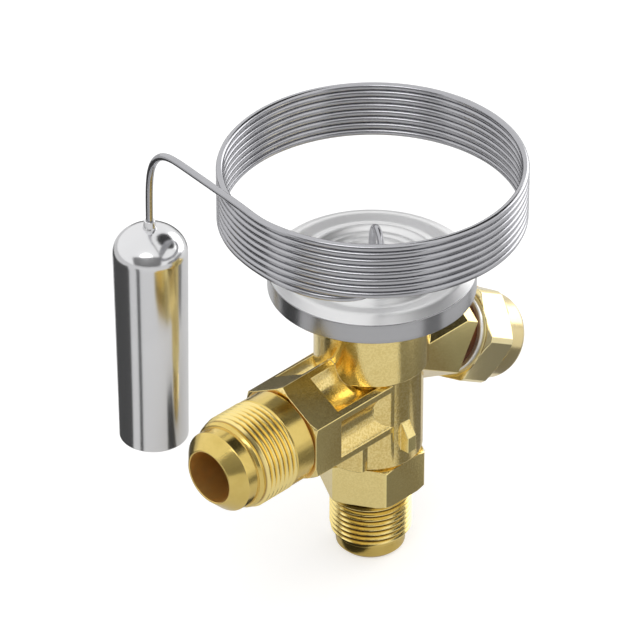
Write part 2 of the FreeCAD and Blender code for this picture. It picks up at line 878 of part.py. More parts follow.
def cap_washer():
    """The sealing washer between the spigot and the cap."""
    low = mm.spigot_high + mm.contact_gap
    return lay_on_spindle(turned("cap_washer", [
        (mm.washer_bore_r, low),
        (mm.washer_r, low),
        (mm.washer_r, mm.washer_high),
        (mm.washer_bore_r, mm.washer_high),
    ]))


def seal_cap():
    """The hexagon seal cap with its turned round end."""
    body = hexagon_bar(
        "seal_cap", mm.cap_across, mm.cap_low, mm.cap_hex_high,
        ("low", "high"), mm.cap_chamfer_r, mm.cap_turned_r,
    )
    turn(body, [
        (mm.cap_corner_r, mm.cap_low),
        (mm.cap_turned_r, mm.cap_low),
        (mm.cap_turned_r, mm.cap_hex_high),
        (mm.cap_corner_r, mm.cap_hex_high),
    ], "Groove")
    document.recompute()
    turn(body, [
        (0, mm.cap_end_low),
        (mm.cap_end_r, mm.cap_end_low),
        (mm.cap_end_r, mm.cap_high - mm.cap_round),
        (mm.cap_end_r - mm.cap_knee, mm.cap_high - mm.cap_knee),
        (mm.cap_end_r - mm.cap_round, mm.cap_high),
        (0, mm.cap_high),
    ])
    document.recompute()
    turn(body, [
        (0, mm.cap_low),
        (mm.cap_bore_r, mm.cap_low),
        (mm.cap_bore_r, mm.cap_bore_high),
        (mm.cap_pocket_r, mm.cap_bore_high),
        (mm.cap_pocket_r, mm.cap_pocket_high),
        (0, mm.cap_pocket_high),
    ], "Groove")
    return lay_on_spindle(body, mm.cap_turn.value)


# diaphragm head

def head_gasket():
    """The metal ring under the head's screwed spigot."""
    return turned("head_gasket", [
        (mm.head_bore_r, mm.gasket_seat_z),
        (mm.head_thread_r - mm.slip, mm.gasket_seat_z),
        (mm.head_thread_r - mm.slip, mm.gasket_seat_z + mm.gasket_thick),
        (mm.head_bore_r, mm.gasket_seat_z + mm.gasket_thick),
    ])


def lower_housing():
    """The lower head plate: screwed spigot, flange and a dished inside."""
    return turned("lower_housing", [
        (mm.head_bore_r, mm.gasket_seat_z + mm.gasket_thick),
        (mm.head_thread_r - mm.slip, mm.gasket_seat_z + mm.gasket_thick),
        (mm.head_thread_r - mm.slip, mm.neck_high),
        (mm.head_r - mm.head_edge, mm.neck_high),
        (mm.head_r, mm.neck_high + mm.head_edge),
        (mm.head_r, mm.split_z),
        (mm.rim_inner_r, mm.split_z),
        (mm.head_dish_r, mm.head_dish_z),
        (mm.head_bore_r, mm.head_dish_z),
    ])


def diaphragm():
    """The thin disc clamped between the two head plates."""
    return turned("diaphragm", [
        (0, mm.split_z),
        (mm.head_r, mm.split_z),
        (mm.head_r, mm.split_z + mm.diaphragm_thick),
        (0, mm.split_z + mm.diaphragm_thick),
    ])


def upper_cover():
    """The pressed top cover: band, dished rim, ridge and two waves round the middle."""
    low = mm.split_z + mm.diaphragm_thick
    waves = []
    for count in range(2):
        crest = mm.wave_r - mm.wave_step * count
        waves += [
            (crest + mm.wave_half, mm.cover_floor_z),
            (crest, mm.cover_floor_z + mm.wave_rise),
            (crest - mm.wave_half, mm.cover_floor_z),
        ]
    return turned("upper_cover", [
        (mm.rim_inner_r, low),
        (mm.head_r, low),
        (mm.head_r, mm.cover_band_z),
        (mm.cover_shoulder_r, mm.cover_shoulder_z),
        (mm.cover_rim_r, mm.cover_rim_z),
        (mm.cover_valley_r, mm.cover_valley_z),
        (mm.ridge_r, mm.ridge_z),
        *waves,
        (mm.cover_hole_r, mm.cover_floor_z),
        (mm.cover_hole_r, mm.cover_ceiling_z),
        (mm.head_dish_r, mm.cover_ceiling_z),
    ])


def head_ferrule():
    """The ferrule that the capillary is brazed into on the head."""
    return turned("head_ferrule", [
        (mm.ferrule_bore_r, mm.cover_ceiling_z),
        (mm.cover_hole_r, mm.cover_ceiling_z),
        (mm.cover_hole_r, mm.cover_floor_z),
        (mm.ferrule_r, mm.cover_floor_z),
        (mm.ferrule_r, mm.ferrule_high),
        (mm.ferrule_tip_r, mm.ferrule_tip_z),
        (mm.ferrule_bore_r, mm.ferrule_tip_z),
    ])


# capillary and bulb

# Where the capillary goes between the ferrule and the coil: degrees, radius and height above the coil's start.
LEAD_ROUTE = (
    (248.9, 2.64, -1.53),
    (244.3, 5.85, -4.13),
    (228.9, 32.7, -0.75),
    (204.3, 34.8, -0.55),
    (184.3, 34.3, -0.15),
)
WIRE_SIDES = 6
# The part of a run that each of its two bends may take up.
BEND_SHARE = 0.45
# The leads' section is rolled by this, so that none of its flats lies on a flat of the coil.
LEAD_ROLL = math.radians(12)


def round_axis(degrees, radius, height):
    """A point round the valve axis; degrees run anticlockwise from +X, seen from above."""
    angle = math.radians(degrees)
    return Vector(radius * math.cos(angle), radius * math.sin(angle), height)


def wire_outline(radius, roll):
    """A regular outline of the wire's own area, in the XZ plane, with its centre on the X axis."""
    step = math.tau / WIRE_SIDES
    corner_r = mm.wire_r.value * math.sqrt(step / math.sin(step))
    angles = [roll + side * step for side in range(WIRE_SIDES + 1)]
    return Part.makePolygon([
        Vector(radius + corner_r * math.cos(angle), 0, corner_r * math.sin(angle)) for angle in angles
    ])


def bend_radius(before, corner, after, largest):
    """The largest bend that the two runs leave room for, up to a limit."""
    half_turn = (math.pi - (before - corner).getAngle(after - corner)) / 2
    shorter = min((before - corner).Length, (after - corner).Length)
    return min(BEND_SHARE * shorter / math.tan(half_turn), largest)


def bent_wire(points, largest_bend):
    """A piece of the capillary along straight runs joined by tangent arcs."""
    edges = []
    start = points[0]
    bends = []
    for before, corner, after in zip(points, points[1:], points[2:]):
        bend = bend_radius(before, corner, after, largest_bend)
        inward = (before - corner).normalize()
        outward = (after - corner).normalize()
        half_turn = (math.pi - inward.getAngle(outward)) / 2
        bisector = (inward + outward).normalize()
        arc_start = corner + inward * (bend * math.tan(half_turn))
        arc_end = corner + outward * (bend * math.tan(half_turn))
        crown = corner + bisector * (bend / math.cos(half_turn) - bend)
        edges.append(Part.LineSegment(start, arc_start).toShape())
        edges.append(Part.Arc(arc_start, crown, arc_end).toShape())
        start = arc_end
        bends.append(round(bend, 1))
    edges.append(Part.LineSegment(start, points[-1]).toShape())
    path = Part.Wire(edges)
    section = wire_outline(0, LEAD_ROLL)
    section.Placement = FreeCAD.Placement(
        points[0], FreeCAD.Rotation(Vector(0, 1, 0), points[1] - points[0])
    )
    piece = path.makePipeShell([section], True, False)
    full = math.pi * mm.wire_r.value ** 2 * path.Length
    print(f"wire {path.Length:.1f} mm long, bends {bends}, volume ratio {piece.Volume / full:.4f}")
    return piece


def capillary_tube():
    """The capillary in one piece: hairpin over the head, wound coil and the run to the bulb."""
    turn_r = mm.turn_r.value
    low = mm.coil_low.value
    start = mm.coil_start.value
    top = low + mm.turn_pitch.value * mm.turn_count.value
    helix = Part.makeHelix(mm.turn_pitch.value, top - low, turn_r, 0, True)
    coil = Part.Wire(helix.Edges).makePipeShell([wire_outline(turn_r, 0)], True, True)
    coil.Placement = FreeCAD.Placement(Vector(0, 0, low), FreeCAD.Rotation(Vector(0, 0, 1), start))
    lead_end = start - math.degrees(mm.lead_overlap.value / turn_r)
    hairpin_z = low + LEAD_ROUTE[0][2]
    lead = bent_wire([
        Vector(0, 0, mm.ferrule_tip_z.value - mm.ferrule_tip_r.value),
        Vector(0, 0, hairpin_z),
        *(round_axis(degrees, radius, low + height) for degrees, radius, height in LEAD_ROUTE),
        round_axis(lead_end, turn_r, low),
    ], mm.lead_bend.value)
    away = round_axis(start - 90, 1, 0)
    bulb_axis = Vector(mm.bulb_x.value, mm.bulb_y.value, 0)
    run = bent_wire([
        round_axis(start, turn_r, top) - away * mm.run_overlap.value,
        bulb_axis + Vector(0, 0, top - mm.run_drop.value),
        bulb_axis + Vector(0, 0, mm.bulb_dome_z.value + mm.run_overlap.value),
    ], mm.run_bend.value)
    capillary = document.addObject("Part::Feature", "capillary_tube")
    capillary.Shape = coil.fuse([lead, run])
    return capillary


def sensing_bulb():
    """The sealed bulb: flat bottom, slight taper and a domed top."""
    top_r = mm.bulb_shoulder_r
    dome = mm.bulb_dome_z - mm.bulb_shoulder_z
    dome_r = (top_r * top_r + dome * dome) / (dome * 2)
    bulb = turned("sensing_bulb", [
        (0, mm.bulb_low),
        (mm.bulb_low_r - mm.bulb_edge, mm.bulb_low),
        (mm.bulb_low_r, mm.bulb_low + mm.bulb_edge),
        (top_r, mm.bulb_shoulder_z, dome_r),
        (0, mm.bulb_dome_z),
    ])
    return over_bulb(bulb)


def bulb_ferrule():
    """The collar that the capillary is brazed into on the bulb."""
    return over_bulb(turned("bulb_ferrule", [
        (mm.ferrule_bore_r, mm.bulb_dome_z),
        (mm.bulb_collar_r, mm.bulb_dome_z),
        (mm.ferrule_tip_r, mm.bulb_collar_high),
        (mm.ferrule_bore_r, mm.bulb_collar_high),
    ]))


def over_bulb(piece):
    """Places a piece on the bulb's own axis."""
    for axis, place in (("x", mm.bulb_x), ("y", mm.bulb_y)):
        piece.setExpression(f"Placement.Base.{axis}", place.text)
    return piece


PIECES = [
    valve_body(),
    inlet_strainer(),
    orifice_cartridge(),
    squeezed_ring(
        "cartridge_ring", mm.groove_r + mm.contact_gap, mm.inlet_bore_r - mm.contact_gap,
        mm.groove_low + mm.slip, mm.groove_high - mm.slip,
    ),
    valve_cone(),
    push_rod(),
    rod_guide(),
    thrust_pad(),
    spring_seat(),
    superheat_spring(),
    drive_pin(),
    drive_guide(),
    setting_spindle(),
    lay_on_spindle(squeezed_ring(
        "spindle_ring", mm.spindle_r + mm.contact_gap, mm.gland_groove_r - mm.contact_gap,
        mm.gland_groove_low + mm.slip, mm.gland_groove_high - mm.slip,
    )),
    packing_gland(),
    cap_washer(),
    seal_cap(),
    head_gasket(),
    lower_housing(),
    diaphragm(),
    upper_cover(),
    head_ferrule(),
    capillary_tube(),
    sensing_bulb(),
    bulb_ferrule(),
]

document.recompute()
failed = [item.Name for item in document.Objects if {"Invalid", "Error"} & set(item.State)]
if failed:
    raise RuntimeError(f"these objects did not build: {failed}")
os.makedirs("parts", exist_ok=True)
for piece in PIECES:
    if piece.Shape.isNull() or not piece.Shape.isValid() or len(piece.Shape.Solids) != 1:
        raise RuntimeError(f"{piece.Label} is not one valid solid")
    piece.Shape.exportStep(f"parts/{piece.Label}.step")
    print(f"{piece.Label:20s} {piece.Shape.Volume:10.1f} mm3")
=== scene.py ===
"""Looks of an angle pattern expansion valve: brass forging, steel head, wound capillary and bulb.

Every piece is in metres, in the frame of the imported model: the origin is the centre of the inlet
flare's mouth, +Z runs up the valve axis, the outlet points to -X and the spindle arm slopes down
towards +X. Sizes are written in millimetres and turned into metres by the MM factor.
"""

import logging
import math
from collections.abc import Callable, Sequence
from dataclasses import dataclass
from enum import Enum

import bmesh
import bpy
from mathutils import Matrix, Vector


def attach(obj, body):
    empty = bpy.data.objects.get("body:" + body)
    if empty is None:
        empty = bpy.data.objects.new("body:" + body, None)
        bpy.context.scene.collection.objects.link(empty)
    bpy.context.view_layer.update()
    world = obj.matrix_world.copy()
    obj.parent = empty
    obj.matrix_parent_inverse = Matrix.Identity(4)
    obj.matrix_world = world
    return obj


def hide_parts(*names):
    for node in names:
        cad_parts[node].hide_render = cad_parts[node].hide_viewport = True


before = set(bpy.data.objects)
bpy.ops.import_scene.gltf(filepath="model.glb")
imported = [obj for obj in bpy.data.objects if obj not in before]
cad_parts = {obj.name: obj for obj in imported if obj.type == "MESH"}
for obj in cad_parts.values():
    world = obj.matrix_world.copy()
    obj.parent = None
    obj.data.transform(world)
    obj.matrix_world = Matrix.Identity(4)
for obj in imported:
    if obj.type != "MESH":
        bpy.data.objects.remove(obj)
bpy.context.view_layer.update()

LOG = logging.getLogger("expansion_valve")
MM = 0.001
ARM_SLOPE = math.radians(30)
BULB_PLACE = (-25.9, 44.9)

Colour = tuple[float, float, float]
Corner = tuple[float, float, float]
Material = bpy.types.Material
Mesh = bpy.types.Mesh
Piece = bpy.types.Object
Socket = bpy.types.NodeSocket
Tree = bpy.types.NodeTree


class Axis(Enum):
    """The four axes that pieces are turned about: a point in millimetres, and the direction."""

    VALVE = ((0.0, 0.0, 0.0), (0.0, 0.0, 1.0))
    OUTLET = ((-52.0, 0.0, 44.9), (1.0, 0.0, 0.0))
    SPINDLE = ((0.0, 0.0, 61.3), (math.cos(ARM_SLOPE), 0.0, -math.sin(ARM_SLOPE)))
    BULB = ((*BULB_PLACE, 0.0), (0.0, 0.0, 1.0))

    @property
    def start(self) -> Vector:
        """A point on the axis, in metres."""
        return Vector(self.value[0]) * MM

    @property
    def direction(self) -> Vector:
        """The unit vector along the axis."""
        return Vector(self.value[1])

    def placement(self) -> Matrix:
        """The matrix that lays a piece made along Z on this axis."""
        turn = Vector((0, 0, 1)).rotation_difference(self.direction)
        return Matrix.Translation(self.start) @ turn.to_matrix().to_4x4()

    def along_and_across(self, point: Vector) -> tuple[float, float]:
        """How far a point is along the axis and away from it.

        Args:
            point: a point in metres.

        Returns:
            Both distances in millimetres.
        """
        reach = point - self.start
        along = reach.dot(self.direction)
        return along / MM, (reach - self.direction * along).length / MM


class NodeBoard:
    """Adds linked nodes to one tree."""

    MIX_COLOURS = (6, 7)
    MIX_RESULT = 2

    def __init__(self, tree: Tree) -> None:
        """Starts on an empty tree."""
        self.tree = tree
        tree.nodes.clear()

    def add(self, kind: str, inputs: dict | None = None, **settings) -> bpy.types.Node:
        """Adds one node.

        Args:
            kind: the node's type.
            inputs: a value, or a socket to link, for each input name or number.
            settings: the node's own properties.

        Returns:
            The new node.
        """
        node = self.tree.nodes.new(kind)
        for name, setting in settings.items():
            setattr(node, name, setting)
        for name, given in (inputs or {}).items():
            socket = node.inputs[name]
            if isinstance(given, Socket):
                self.tree.links.new(given, socket)
            else:
                socket.default_value = given
        return node

    def math(self, operation: str, *terms: float | Socket) -> Socket:
        """The result of one Math node, of the kind that the tree takes."""
        node = self.add("ShaderNodeMath", dict(enumerate(terms)), operation=operation)
        return node.outputs[0]

    def vector(self, operation: str, *terms: Socket, result: str = "Vector") -> Socket:
        """The result of one Vector Math node."""
        node = self.add("ShaderNodeVectorMath", dict(enumerate(terms)), operation=operation)
        return node.outputs[result]

    def span(self, value: Socket, low: float | Socket, high: float | Socket, **settings) -> Socket:
        """Where a value lies between two others, from 0 to 1."""
        inputs = {"Value": value, "From Min": low, "From Max": high}
        return self.add("ShaderNodeMapRange", inputs, **settings).outputs[0]

    def blend(self, factor: Socket, first: Colour | Socket, second: Colour | Socket) -> Socket:
        """Mixes two colours.

        Args:
            factor: how much of the second shows.
            first: a colour, or the socket that gives it.
            second: the other.

        Returns:
            The socket of the mixed colour.
        """
        inputs = {"Factor": factor}
        for number, given in zip(self.MIX_COLOURS, (first, second)):
            inputs[number] = given if isinstance(given, Socket) else (*given, 1.0)
        return self.add("ShaderNodeMix", inputs, data_type="RGBA").outputs[self.MIX_RESULT]

    def bump(self, depth: float, height: Socket, under: Socket | None = None) -> Socket:
        """The normals of a relief.

        Args:
            depth: the relief's depth in millimetres.
            height: its shape.
            under: the normals of the relief that it lies on, if there is one.

        Returns:
            The socket of the normals.
        """
        inputs = {"Strength": 1.0, "Distance": depth * MM, "Height": height}
        if under is not None:
            inputs["Normal"] = under
        return self.add("ShaderNodeBump", inputs).outputs[0]

    def end_surface(self, shader: str, inputs: dict, kind: str = "Material") -> None:
        """Ends a material or a world with one shader."""
        surface = self.add(shader, inputs)
        self.add(f"ShaderNodeOutput{kind}", {"Surface": surface.outputs[0]})

    def end_geometry(self, geometry: Socket, material: Socket) -> Tree:
        """Ends a geometry tree with real meshes in their finish.

        Args:
            geometry: what the tree has made.
            material: its finish.

        Returns:
            The whole tree.
        """
        real = self.add("GeometryNodeRealizeInstances", {"Geometry": geometry})
        dressed = self.add("GeometryNodeSetMaterial", {
            "Geometry": real.outputs[0], "Material": material})
        self.add("NodeGroupOutput", {"Geometry": dressed.outputs[0]})
        return self.tree

    def end_wire(
            self, edges: Socket, radius: Socket, sides: int | Socket, material: Socket,
    ) -> Tree:
        """Ends a geometry tree with a round wire along edges.

        Args:
            edges: the mesh with the edges.
            radius: the wire's radius.
            sides: the faces round it.
            material: its finish.

        Returns:
            The whole tree.
        """
        line = self.add("GeometryNodeMeshToCurve", {"Mesh": edges})
        circle = self.add("GeometryNodeCurvePrimitiveCircle", {
            "Resolution": sides, "Radius": radius}, mode="RADIUS")
        wire = self.add("GeometryNodeCurveToMesh", {
            "Curve": line.outputs[0], "Profile Curve": circle.outputs[0], "Fill Caps": True})
        return self.end_geometry(wire.outputs[0], material)


def new_group(
        name: str, kind: str, inputs: dict[str, str], outputs: dict[str, str],
) -> tuple[NodeBoard, bpy.types.NodeOutputs]:
    """Starts a node group.

    Args:
        name: the group's name.
        kind: Shader or Geometry.
        inputs: the kind of socket for each input name.
        outputs: the kind of socket for each output name.

    Returns:
        A board on the group's tree, and the sockets that carry its inputs.
    """
    board = NodeBoard(bpy.data.node_groups.new(name, f"{kind}NodeTree"))
    for direction, sockets in (("INPUT", inputs), ("OUTPUT", outputs)):
        for label, socket in sockets.items():
            board.tree.interface.new_socket(
                name=label, in_out=direction, socket_type=f"NodeSocket{socket}")
    return board, board.add("NodeGroupInput").outputs


def new_material(name: str) -> tuple[Material, NodeBoard]:
    """Starts a material.

    Args:
        name: the material's name.

    Returns:
        The material, and a board on its empty tree.
    """
    material = bpy.data.materials.new(name)
    material.use_nodes = True
    return material, NodeBoard(material.node_tree)


class SurfaceEffects:
    """The shader groups that the finishes share."""

    PATCH_SPAN = (0.36, 0.66)
    FLECK_SPAN = (0.44, 0.56)

    def __init__(self) -> None:
        """Builds each group once."""
        self.speckle = self._speckle()
        self.lathe_marks = self._lathe_marks()
        self.wear_and_highlight_edge = self._wear_and_highlight_edge()

    def _speckle(self) -> Tree:
        """Fine dimples of a blasted or tumbled surface, and changes of tint over it.

        Returns:
            The group: the dimples' height, and a tint from slow patches and fine flecks, the flecks
                partly random tone and partly painted glints.
        """
        board, given = new_group(
            "blasted_speckle", "Shader",
            {"Vector": "Vector", "Grain": "Float", "Patch": "Float", "Fleck": "Float"},
            {"Height": "Float", "Tint": "Float"},
        )
        fine = board.add("ShaderNodeTexNoise", {
            "Vector": given["Vector"], "Scale": board.math("DIVIDE", 1.0, given["Grain"]),
            "Detail": 2.0, "Roughness": 0.6,
        }).outputs[0]
        slow = board.add("ShaderNodeTexNoise", {
            "Vector": given["Vector"], "Scale": board.math("DIVIDE", 1.0, given["Patch"]),
            "Detail": 4.0, "Roughness": 0.55, "Distortion": 0.6,
        }).outputs[0]
        # The fine flecks stand partly for random tone and partly for painted glints.
        tint = board.add("ShaderNodeMix", {
            "Factor": given["Fleck"], "A": board.span(slow, *self.PATCH_SPAN),
            "B": board.span(fine, *self.FLECK_SPAN),
        })
        board.add("NodeGroupOutput", {"Height": fine, "Tint": tint.outputs["Result"]})
        return board.tree

    def _lathe_marks(self) -> Tree:
        """Fine rings that a tool leaves round an axis, on cylinders and on end faces.

        Returns:
            The group: the rings' height, and the distance from the axis.
        """
        board, given = new_group(
            "lathe_marks", "Shader",
            {"Vector": "Vector", "Centre": "Vector", "Axis": "Vector", "Pitch": "Float"},
            {"Height": "Float", "Radius": "Float"},
        )
        reach = board.vector("SUBTRACT", given["Vector"], given["Centre"])
        along = board.vector("DOT_PRODUCT", reach, given["Axis"], result="Value")
        across = board.vector("CROSS_PRODUCT", reach, given["Axis"])
        radius = board.vector("LENGTH", across, result="Value")
        travel = board.math("ADD", along, radius)
        rings = board.add("ShaderNodeTexNoise", {
            "W": board.math("DIVIDE", travel, given["Pitch"]), "Scale": 1.0, "Detail": 3.0,
            "Roughness": 0.7,
        }, noise_dimensions="1D")
        board.add("NodeGroupOutput", {"Height": rings.outputs[0], "Radius": radius})
        return board.tree

    def _wear_and_highlight_edge(self) -> Tree:
        """A mask of the outer edges, kept bright partly as handling wear and partly as a painted
        highlight.

        Returns:
            The group: 1 on the edges and 0 elsewhere.
        """
        board, given = new_group(
            "wear_and_highlight_edge", "Shader", {"Low": "Float", "High": "Float"}, {"Mask": "Float"})
        shape = board.add("ShaderNodeNewGeometry").outputs
        mask = board.span(shape["Pointiness"], given["Low"], given["High"])
        board.add("NodeGroupOutput", {"Mask": mask})
        return board.tree


@dataclass(frozen=True)
class MetalFinish:
    """One bare metal surface; grain, patches, marks and depths are in millimetres.

    A valley is the two radii about the axis between which a thread's bottom, darkened with painted
    shade, turns bright.
    """

    name: str
    colour: Colour
    shade: Colour
    roughness: float
    roughness_swing: float = 0.06
    grain: float = 0.35
    grain_depth: float = 0.004
    patch: float = 9.0
    mark_pitch: float = 0.25
    mark_depth: float = 0.002
    axis: Axis = Axis.VALVE
    edge_highlight_gain: float = 1.12
    edge_low: float = 0.51
    edge_high: float = 0.56
    fleck: float = 0.15
    valley: tuple[float, float] | None = None
    valley_colour: Colour = (0.20, 0.13, 0.04)

    def material(self, effects: SurfaceEffects) -> Material:
        """Builds the material.

        Args:
            effects: the shared shader groups.

        Returns:
            The new material.
        """
        material, board = new_material(self.name)
        place = board.add("ShaderNodeTexCoord").outputs["Object"]
        speckle = board.add("ShaderNodeGroup", {
            "Vector": place, "Grain": self.grain * MM, "Patch": self.patch * MM,
            "Fleck": self.fleck,
        }, node_tree=effects.speckle).outputs
        marks = board.add("ShaderNodeGroup", {
            "Vector": place, "Centre": self.axis.start, "Axis": self.axis.direction,
            "Pitch": self.mark_pitch * MM,
        }, node_tree=effects.lathe_marks).outputs
        wear_and_highlight = board.add("ShaderNodeGroup", {
            "Low": self.edge_low, "High": self.edge_high,
        }, node_tree=effects.wear_and_highlight_edge).outputs
        # The edges turn brighter: partly handling wear, partly a painted highlight.
        bright = tuple(min(1.0, channel * self.edge_highlight_gain) for channel in self.colour)
        coloured = board.blend(speckle["Tint"], self.shade, self.colour)
        coloured = board.blend(wear_and_highlight["Mask"], coloured, bright)
        # Painted shade: a thread's valley is darkened by its distance from the axis.
        if self.valley:
            root, crest = self.valley
            rise = board.span(
                marks["Radius"], root * MM, crest * MM, interpolation_type="SMOOTHSTEP")
            coloured = board.blend(rise, self.valley_colour, coloured)
        swing = board.math(
            "MULTIPLY_ADD", speckle["Height"], self.roughness_swing * 2,
            self.roughness - self.roughness_swing)
        dimples = board.bump(self.grain_depth, speckle["Height"])
        board.end_surface("ShaderNodeBsdfPrincipled", {
            "Base Color": coloured, "Metallic": 1.0, "Roughness": swing,
            "Normal": board.bump(self.mark_depth, marks["Height"], dimples),
        })
        return material


@dataclass(frozen=True)
class RubberFinish:
    """Matt moulded rubber; grain, patches and depth are in millimetres."""

    name: str = "seal_rubber"
    colour: Colour = (0.018, 0.018, 0.019)
    roughness: float = 0.62
    pale_gain: float = 1.6
    grain: float = 0.15
    grain_depth: float = 0.004
    patch: float = 3.0

    def material(self, effects: SurfaceEffects) -> Material:
        """Builds the material with a fine moulded grain.

        Args:
            effects: the shared shader groups.

        Returns:
            The new material.
        """
        material, board = new_material(self.name)
        speckle = board.add("ShaderNodeGroup", {
            "Vector": board.add("ShaderNodeTexCoord").outputs["Object"],
            "Grain": self.grain * MM, "Patch": self.patch * MM,
        }, node_tree=effects.speckle).outputs
        pale = tuple(channel * self.pale_gain for channel in self.colour)
        board.end_surface("ShaderNodeBsdfPrincipled", {
            "Base Color": board.blend(speckle["Tint"], self.colour, pale),
            "Roughness": self.roughness, "Normal": board.bump(self.grain_depth, speckle["Height"]),
        })
        return material


class Finishes:
    """Every material of the valve."""

    def __init__(self) -> None:
        """Builds each material once."""
        effects = SurfaceEffects()

        def metal(name: str, colour: Colour, shade: Colour, roughness: float, **rest) -> Material:
            """One bare metal surface."""
            return MetalFinish(name, colour, shade, roughness, **rest).material(effects)

        def machined(name: str, axis: Axis) -> Material:
            """A turned brass surface with rings round this axis."""
            return metal(
                name, (0.78, 0.59, 0.19), (0.68, 0.50, 0.14), 0.2, grain=0.5, grain_depth=0.001,
                mark_pitch=0.12, mark_depth=0.004, axis=axis)

        def threaded(name: str, axis: Axis, root: float, crest: float, dark: Colour) -> Material:
            """A thread's brass, with painted shade in its valleys and bright on its crests."""
            return metal(
                name, (0.92, 0.72, 0.29), (0.86, 0.65, 0.24), 0.2, grain=0.5, grain_depth=0.001,
                mark_depth=0.0, axis=axis, valley=(root, crest), valley_colour=dark)

        # Painted shade in the valleys of the outlet and spigot threads.
        amber_valley_shade = (0.46, 0.31, 0.11)
        # The forging's large share of fine flecks is partly random tone and partly painted glints.
        self.forged = metal(
            "forged_brass", (0.93, 0.75, 0.33), (0.74, 0.545, 0.185), 0.18, grain=0.5,
            grain_depth=0.018, mark_depth=0.0, fleck=0.65)
        self.inlet = machined("turned_inlet_brass", Axis.VALVE)
        self.outlet = machined("turned_outlet_brass", Axis.OUTLET)
        # The inlet thread's valleys take a dark brown of painted shade.
        self.inlet_thread = threaded(
            "cut_inlet_brass", Axis.VALVE, 8.75, 9.28, (0.20, 0.12, 0.04))
        self.outlet_thread = threaded("cut_outlet_brass", Axis.OUTLET, 10.3, 10.65, amber_valley_shade)
        self.spindle = machined("turned_spindle_brass", Axis.SPINDLE)
        self.spigot_thread = threaded("cut_spigot_brass", Axis.SPINDLE, 7.4, 7.75, amber_valley_shade)
        # Painted shade: a dark brown brass for the recess between the arm's end and the washer,
        # where shade falls.
        self.shaded_spigot = metal(
            "spigot_brass", (0.18, 0.06, 0.022), (0.13, 0.045, 0.017), 0.3, grain_depth=0.002,
            mark_pitch=0.3, mark_depth=0.006, axis=Axis.SPINDLE)
        self.bore = metal(
            "bored_brass", (1.0, 0.68, 0.25), (0.90, 0.58, 0.19), 0.45, grain_depth=0.002,
            mark_pitch=0.3, mark_depth=0.008, axis=Axis.OUTLET)
        self.cap = metal(
            "cap_brass", (0.95, 0.80, 0.45), (0.88, 0.72, 0.36), 0.18, roughness_swing=0.05,
            grain=0.6, grain_depth=0.003, mark_pitch=0.15, axis=Axis.SPINDLE)
        self.head = metal(
            "pressed_head_steel", (0.88, 0.88, 0.88), (0.83, 0.83, 0.83), 0.4,
            roughness_swing=0.05, grain=0.3, grain_depth=0.002, patch=14.0, mark_pitch=0.2,
            mark_depth=0.0015)
        # Painted shade: a darker copy of the head's steel, for the head's rim and underside.
        self.shaded_rim = metal(
            "shaded_rim_steel", (0.42, 0.42, 0.43), (0.36, 0.36, 0.37), 0.22,
            roughness_swing=0.04, grain=0.3, grain_depth=0.002, patch=14.0, mark_pitch=0.2)
        self.wire = metal(
            "drawn_wire_steel", (0.46, 0.46, 0.48), (0.41, 0.41, 0.43), 0.17,
            roughness_swing=0.03, grain=1.2, grain_depth=0.0, mark_depth=0.0)
        self.bulb = metal(
            "polished_bulb_steel", (0.80, 0.80, 0.81), (0.76, 0.76, 0.77), 0.17,
            roughness_swing=0.03, grain=0.25, grain_depth=0.0006, patch=20.0, mark_pitch=0.3,
            mark_depth=0.001, axis=Axis.BULB)
        self.inner = metal(
            "ground_inner_steel", (0.6, 0.6, 0.61), (0.5, 0.5, 0.51), 0.32, mark_pitch=0.15)
        self.pin = metal(
            "ground_pin_steel", (0.6, 0.6, 0.61), (0.5, 0.5, 0.51), 0.3, mark_pitch=0.15,
            axis=Axis.SPINDLE)
        self.washer = metal(
            "washer_aluminium", (0.80, 0.79, 0.76), (0.72, 0.71, 0.68), 0.42,
            roughness_swing=0.08, grain=0.3, grain_depth=0.006, mark_depth=0.001,
            axis=Axis.SPINDLE)
        self.rubber = RubberFinish().material(effects)


def linked(
        name: str, mesh: Mesh, *materials: Material,
) -> Piece:
    """Puts a mesh into the scene.

    Args:
        name: the new piece's name.
        mesh: its mesh.
        materials: its finishes, in the order of the faces' numbers.

    Returns:
        The new piece.
    """
    mesh.name = name
    piece = bpy.data.objects.new(name, mesh)
    bpy.context.scene.collection.objects.link(piece)
    mesh.materials.clear()
    for material in materials:
        mesh.materials.append(material)
    return piece


def settled(piece: Piece) -> Piece:
    """Applies every modifier of a piece.

    Args:
        piece: the piece.

    Returns:
        The piece as a plain mesh.
    """
    evaluated = piece.evaluated_get(bpy.context.evaluated_depsgraph_get())
    mesh = bpy.data.meshes.new_from_object(evaluated)
    piece.modifiers.clear()
    mesh.name = piece.name
    piece.data = mesh
    return piece


def grown(
        name: str, tree: Tree, base: Mesh, inputs: dict,
) -> Piece:
    """Runs a geometry tree on a mesh and keeps the result as a plain mesh.

    Args:
        name: the new piece's name.
        tree: the geometry nodes.
        base: the mesh that they start from.
        inputs: a value for each named input.

    Returns:
        The piece, without the modifier.
    """
    piece = linked(name, base)
    nodes = piece.modifiers.new(name, "NODES")
    nodes.node_group = tree
    for item in tree.interface.items_tree:
        if item.in_out == "INPUT" and item.name in inputs:
            nodes[item.identifier] = inputs[item.name]
    return settled(piece)


def closed_outwards(piece: Piece, gap: float = 0.0005) -> Piece:
    """Closes a shell's seams and points its faces outwards.

    Args:
        piece: the piece.
        gap: vertices closer than this many millimetres become one.

    Returns:
        The piece.
    """
    shape = bmesh.new()
    shape.from_mesh(piece.data)
    bmesh.ops.remove_doubles(shape, verts=shape.verts, dist=gap * MM)
    bmesh.ops.recalc_face_normals(shape, faces=shape.faces)
    shape.to_mesh(piece.data)
    shape.free()
    return piece


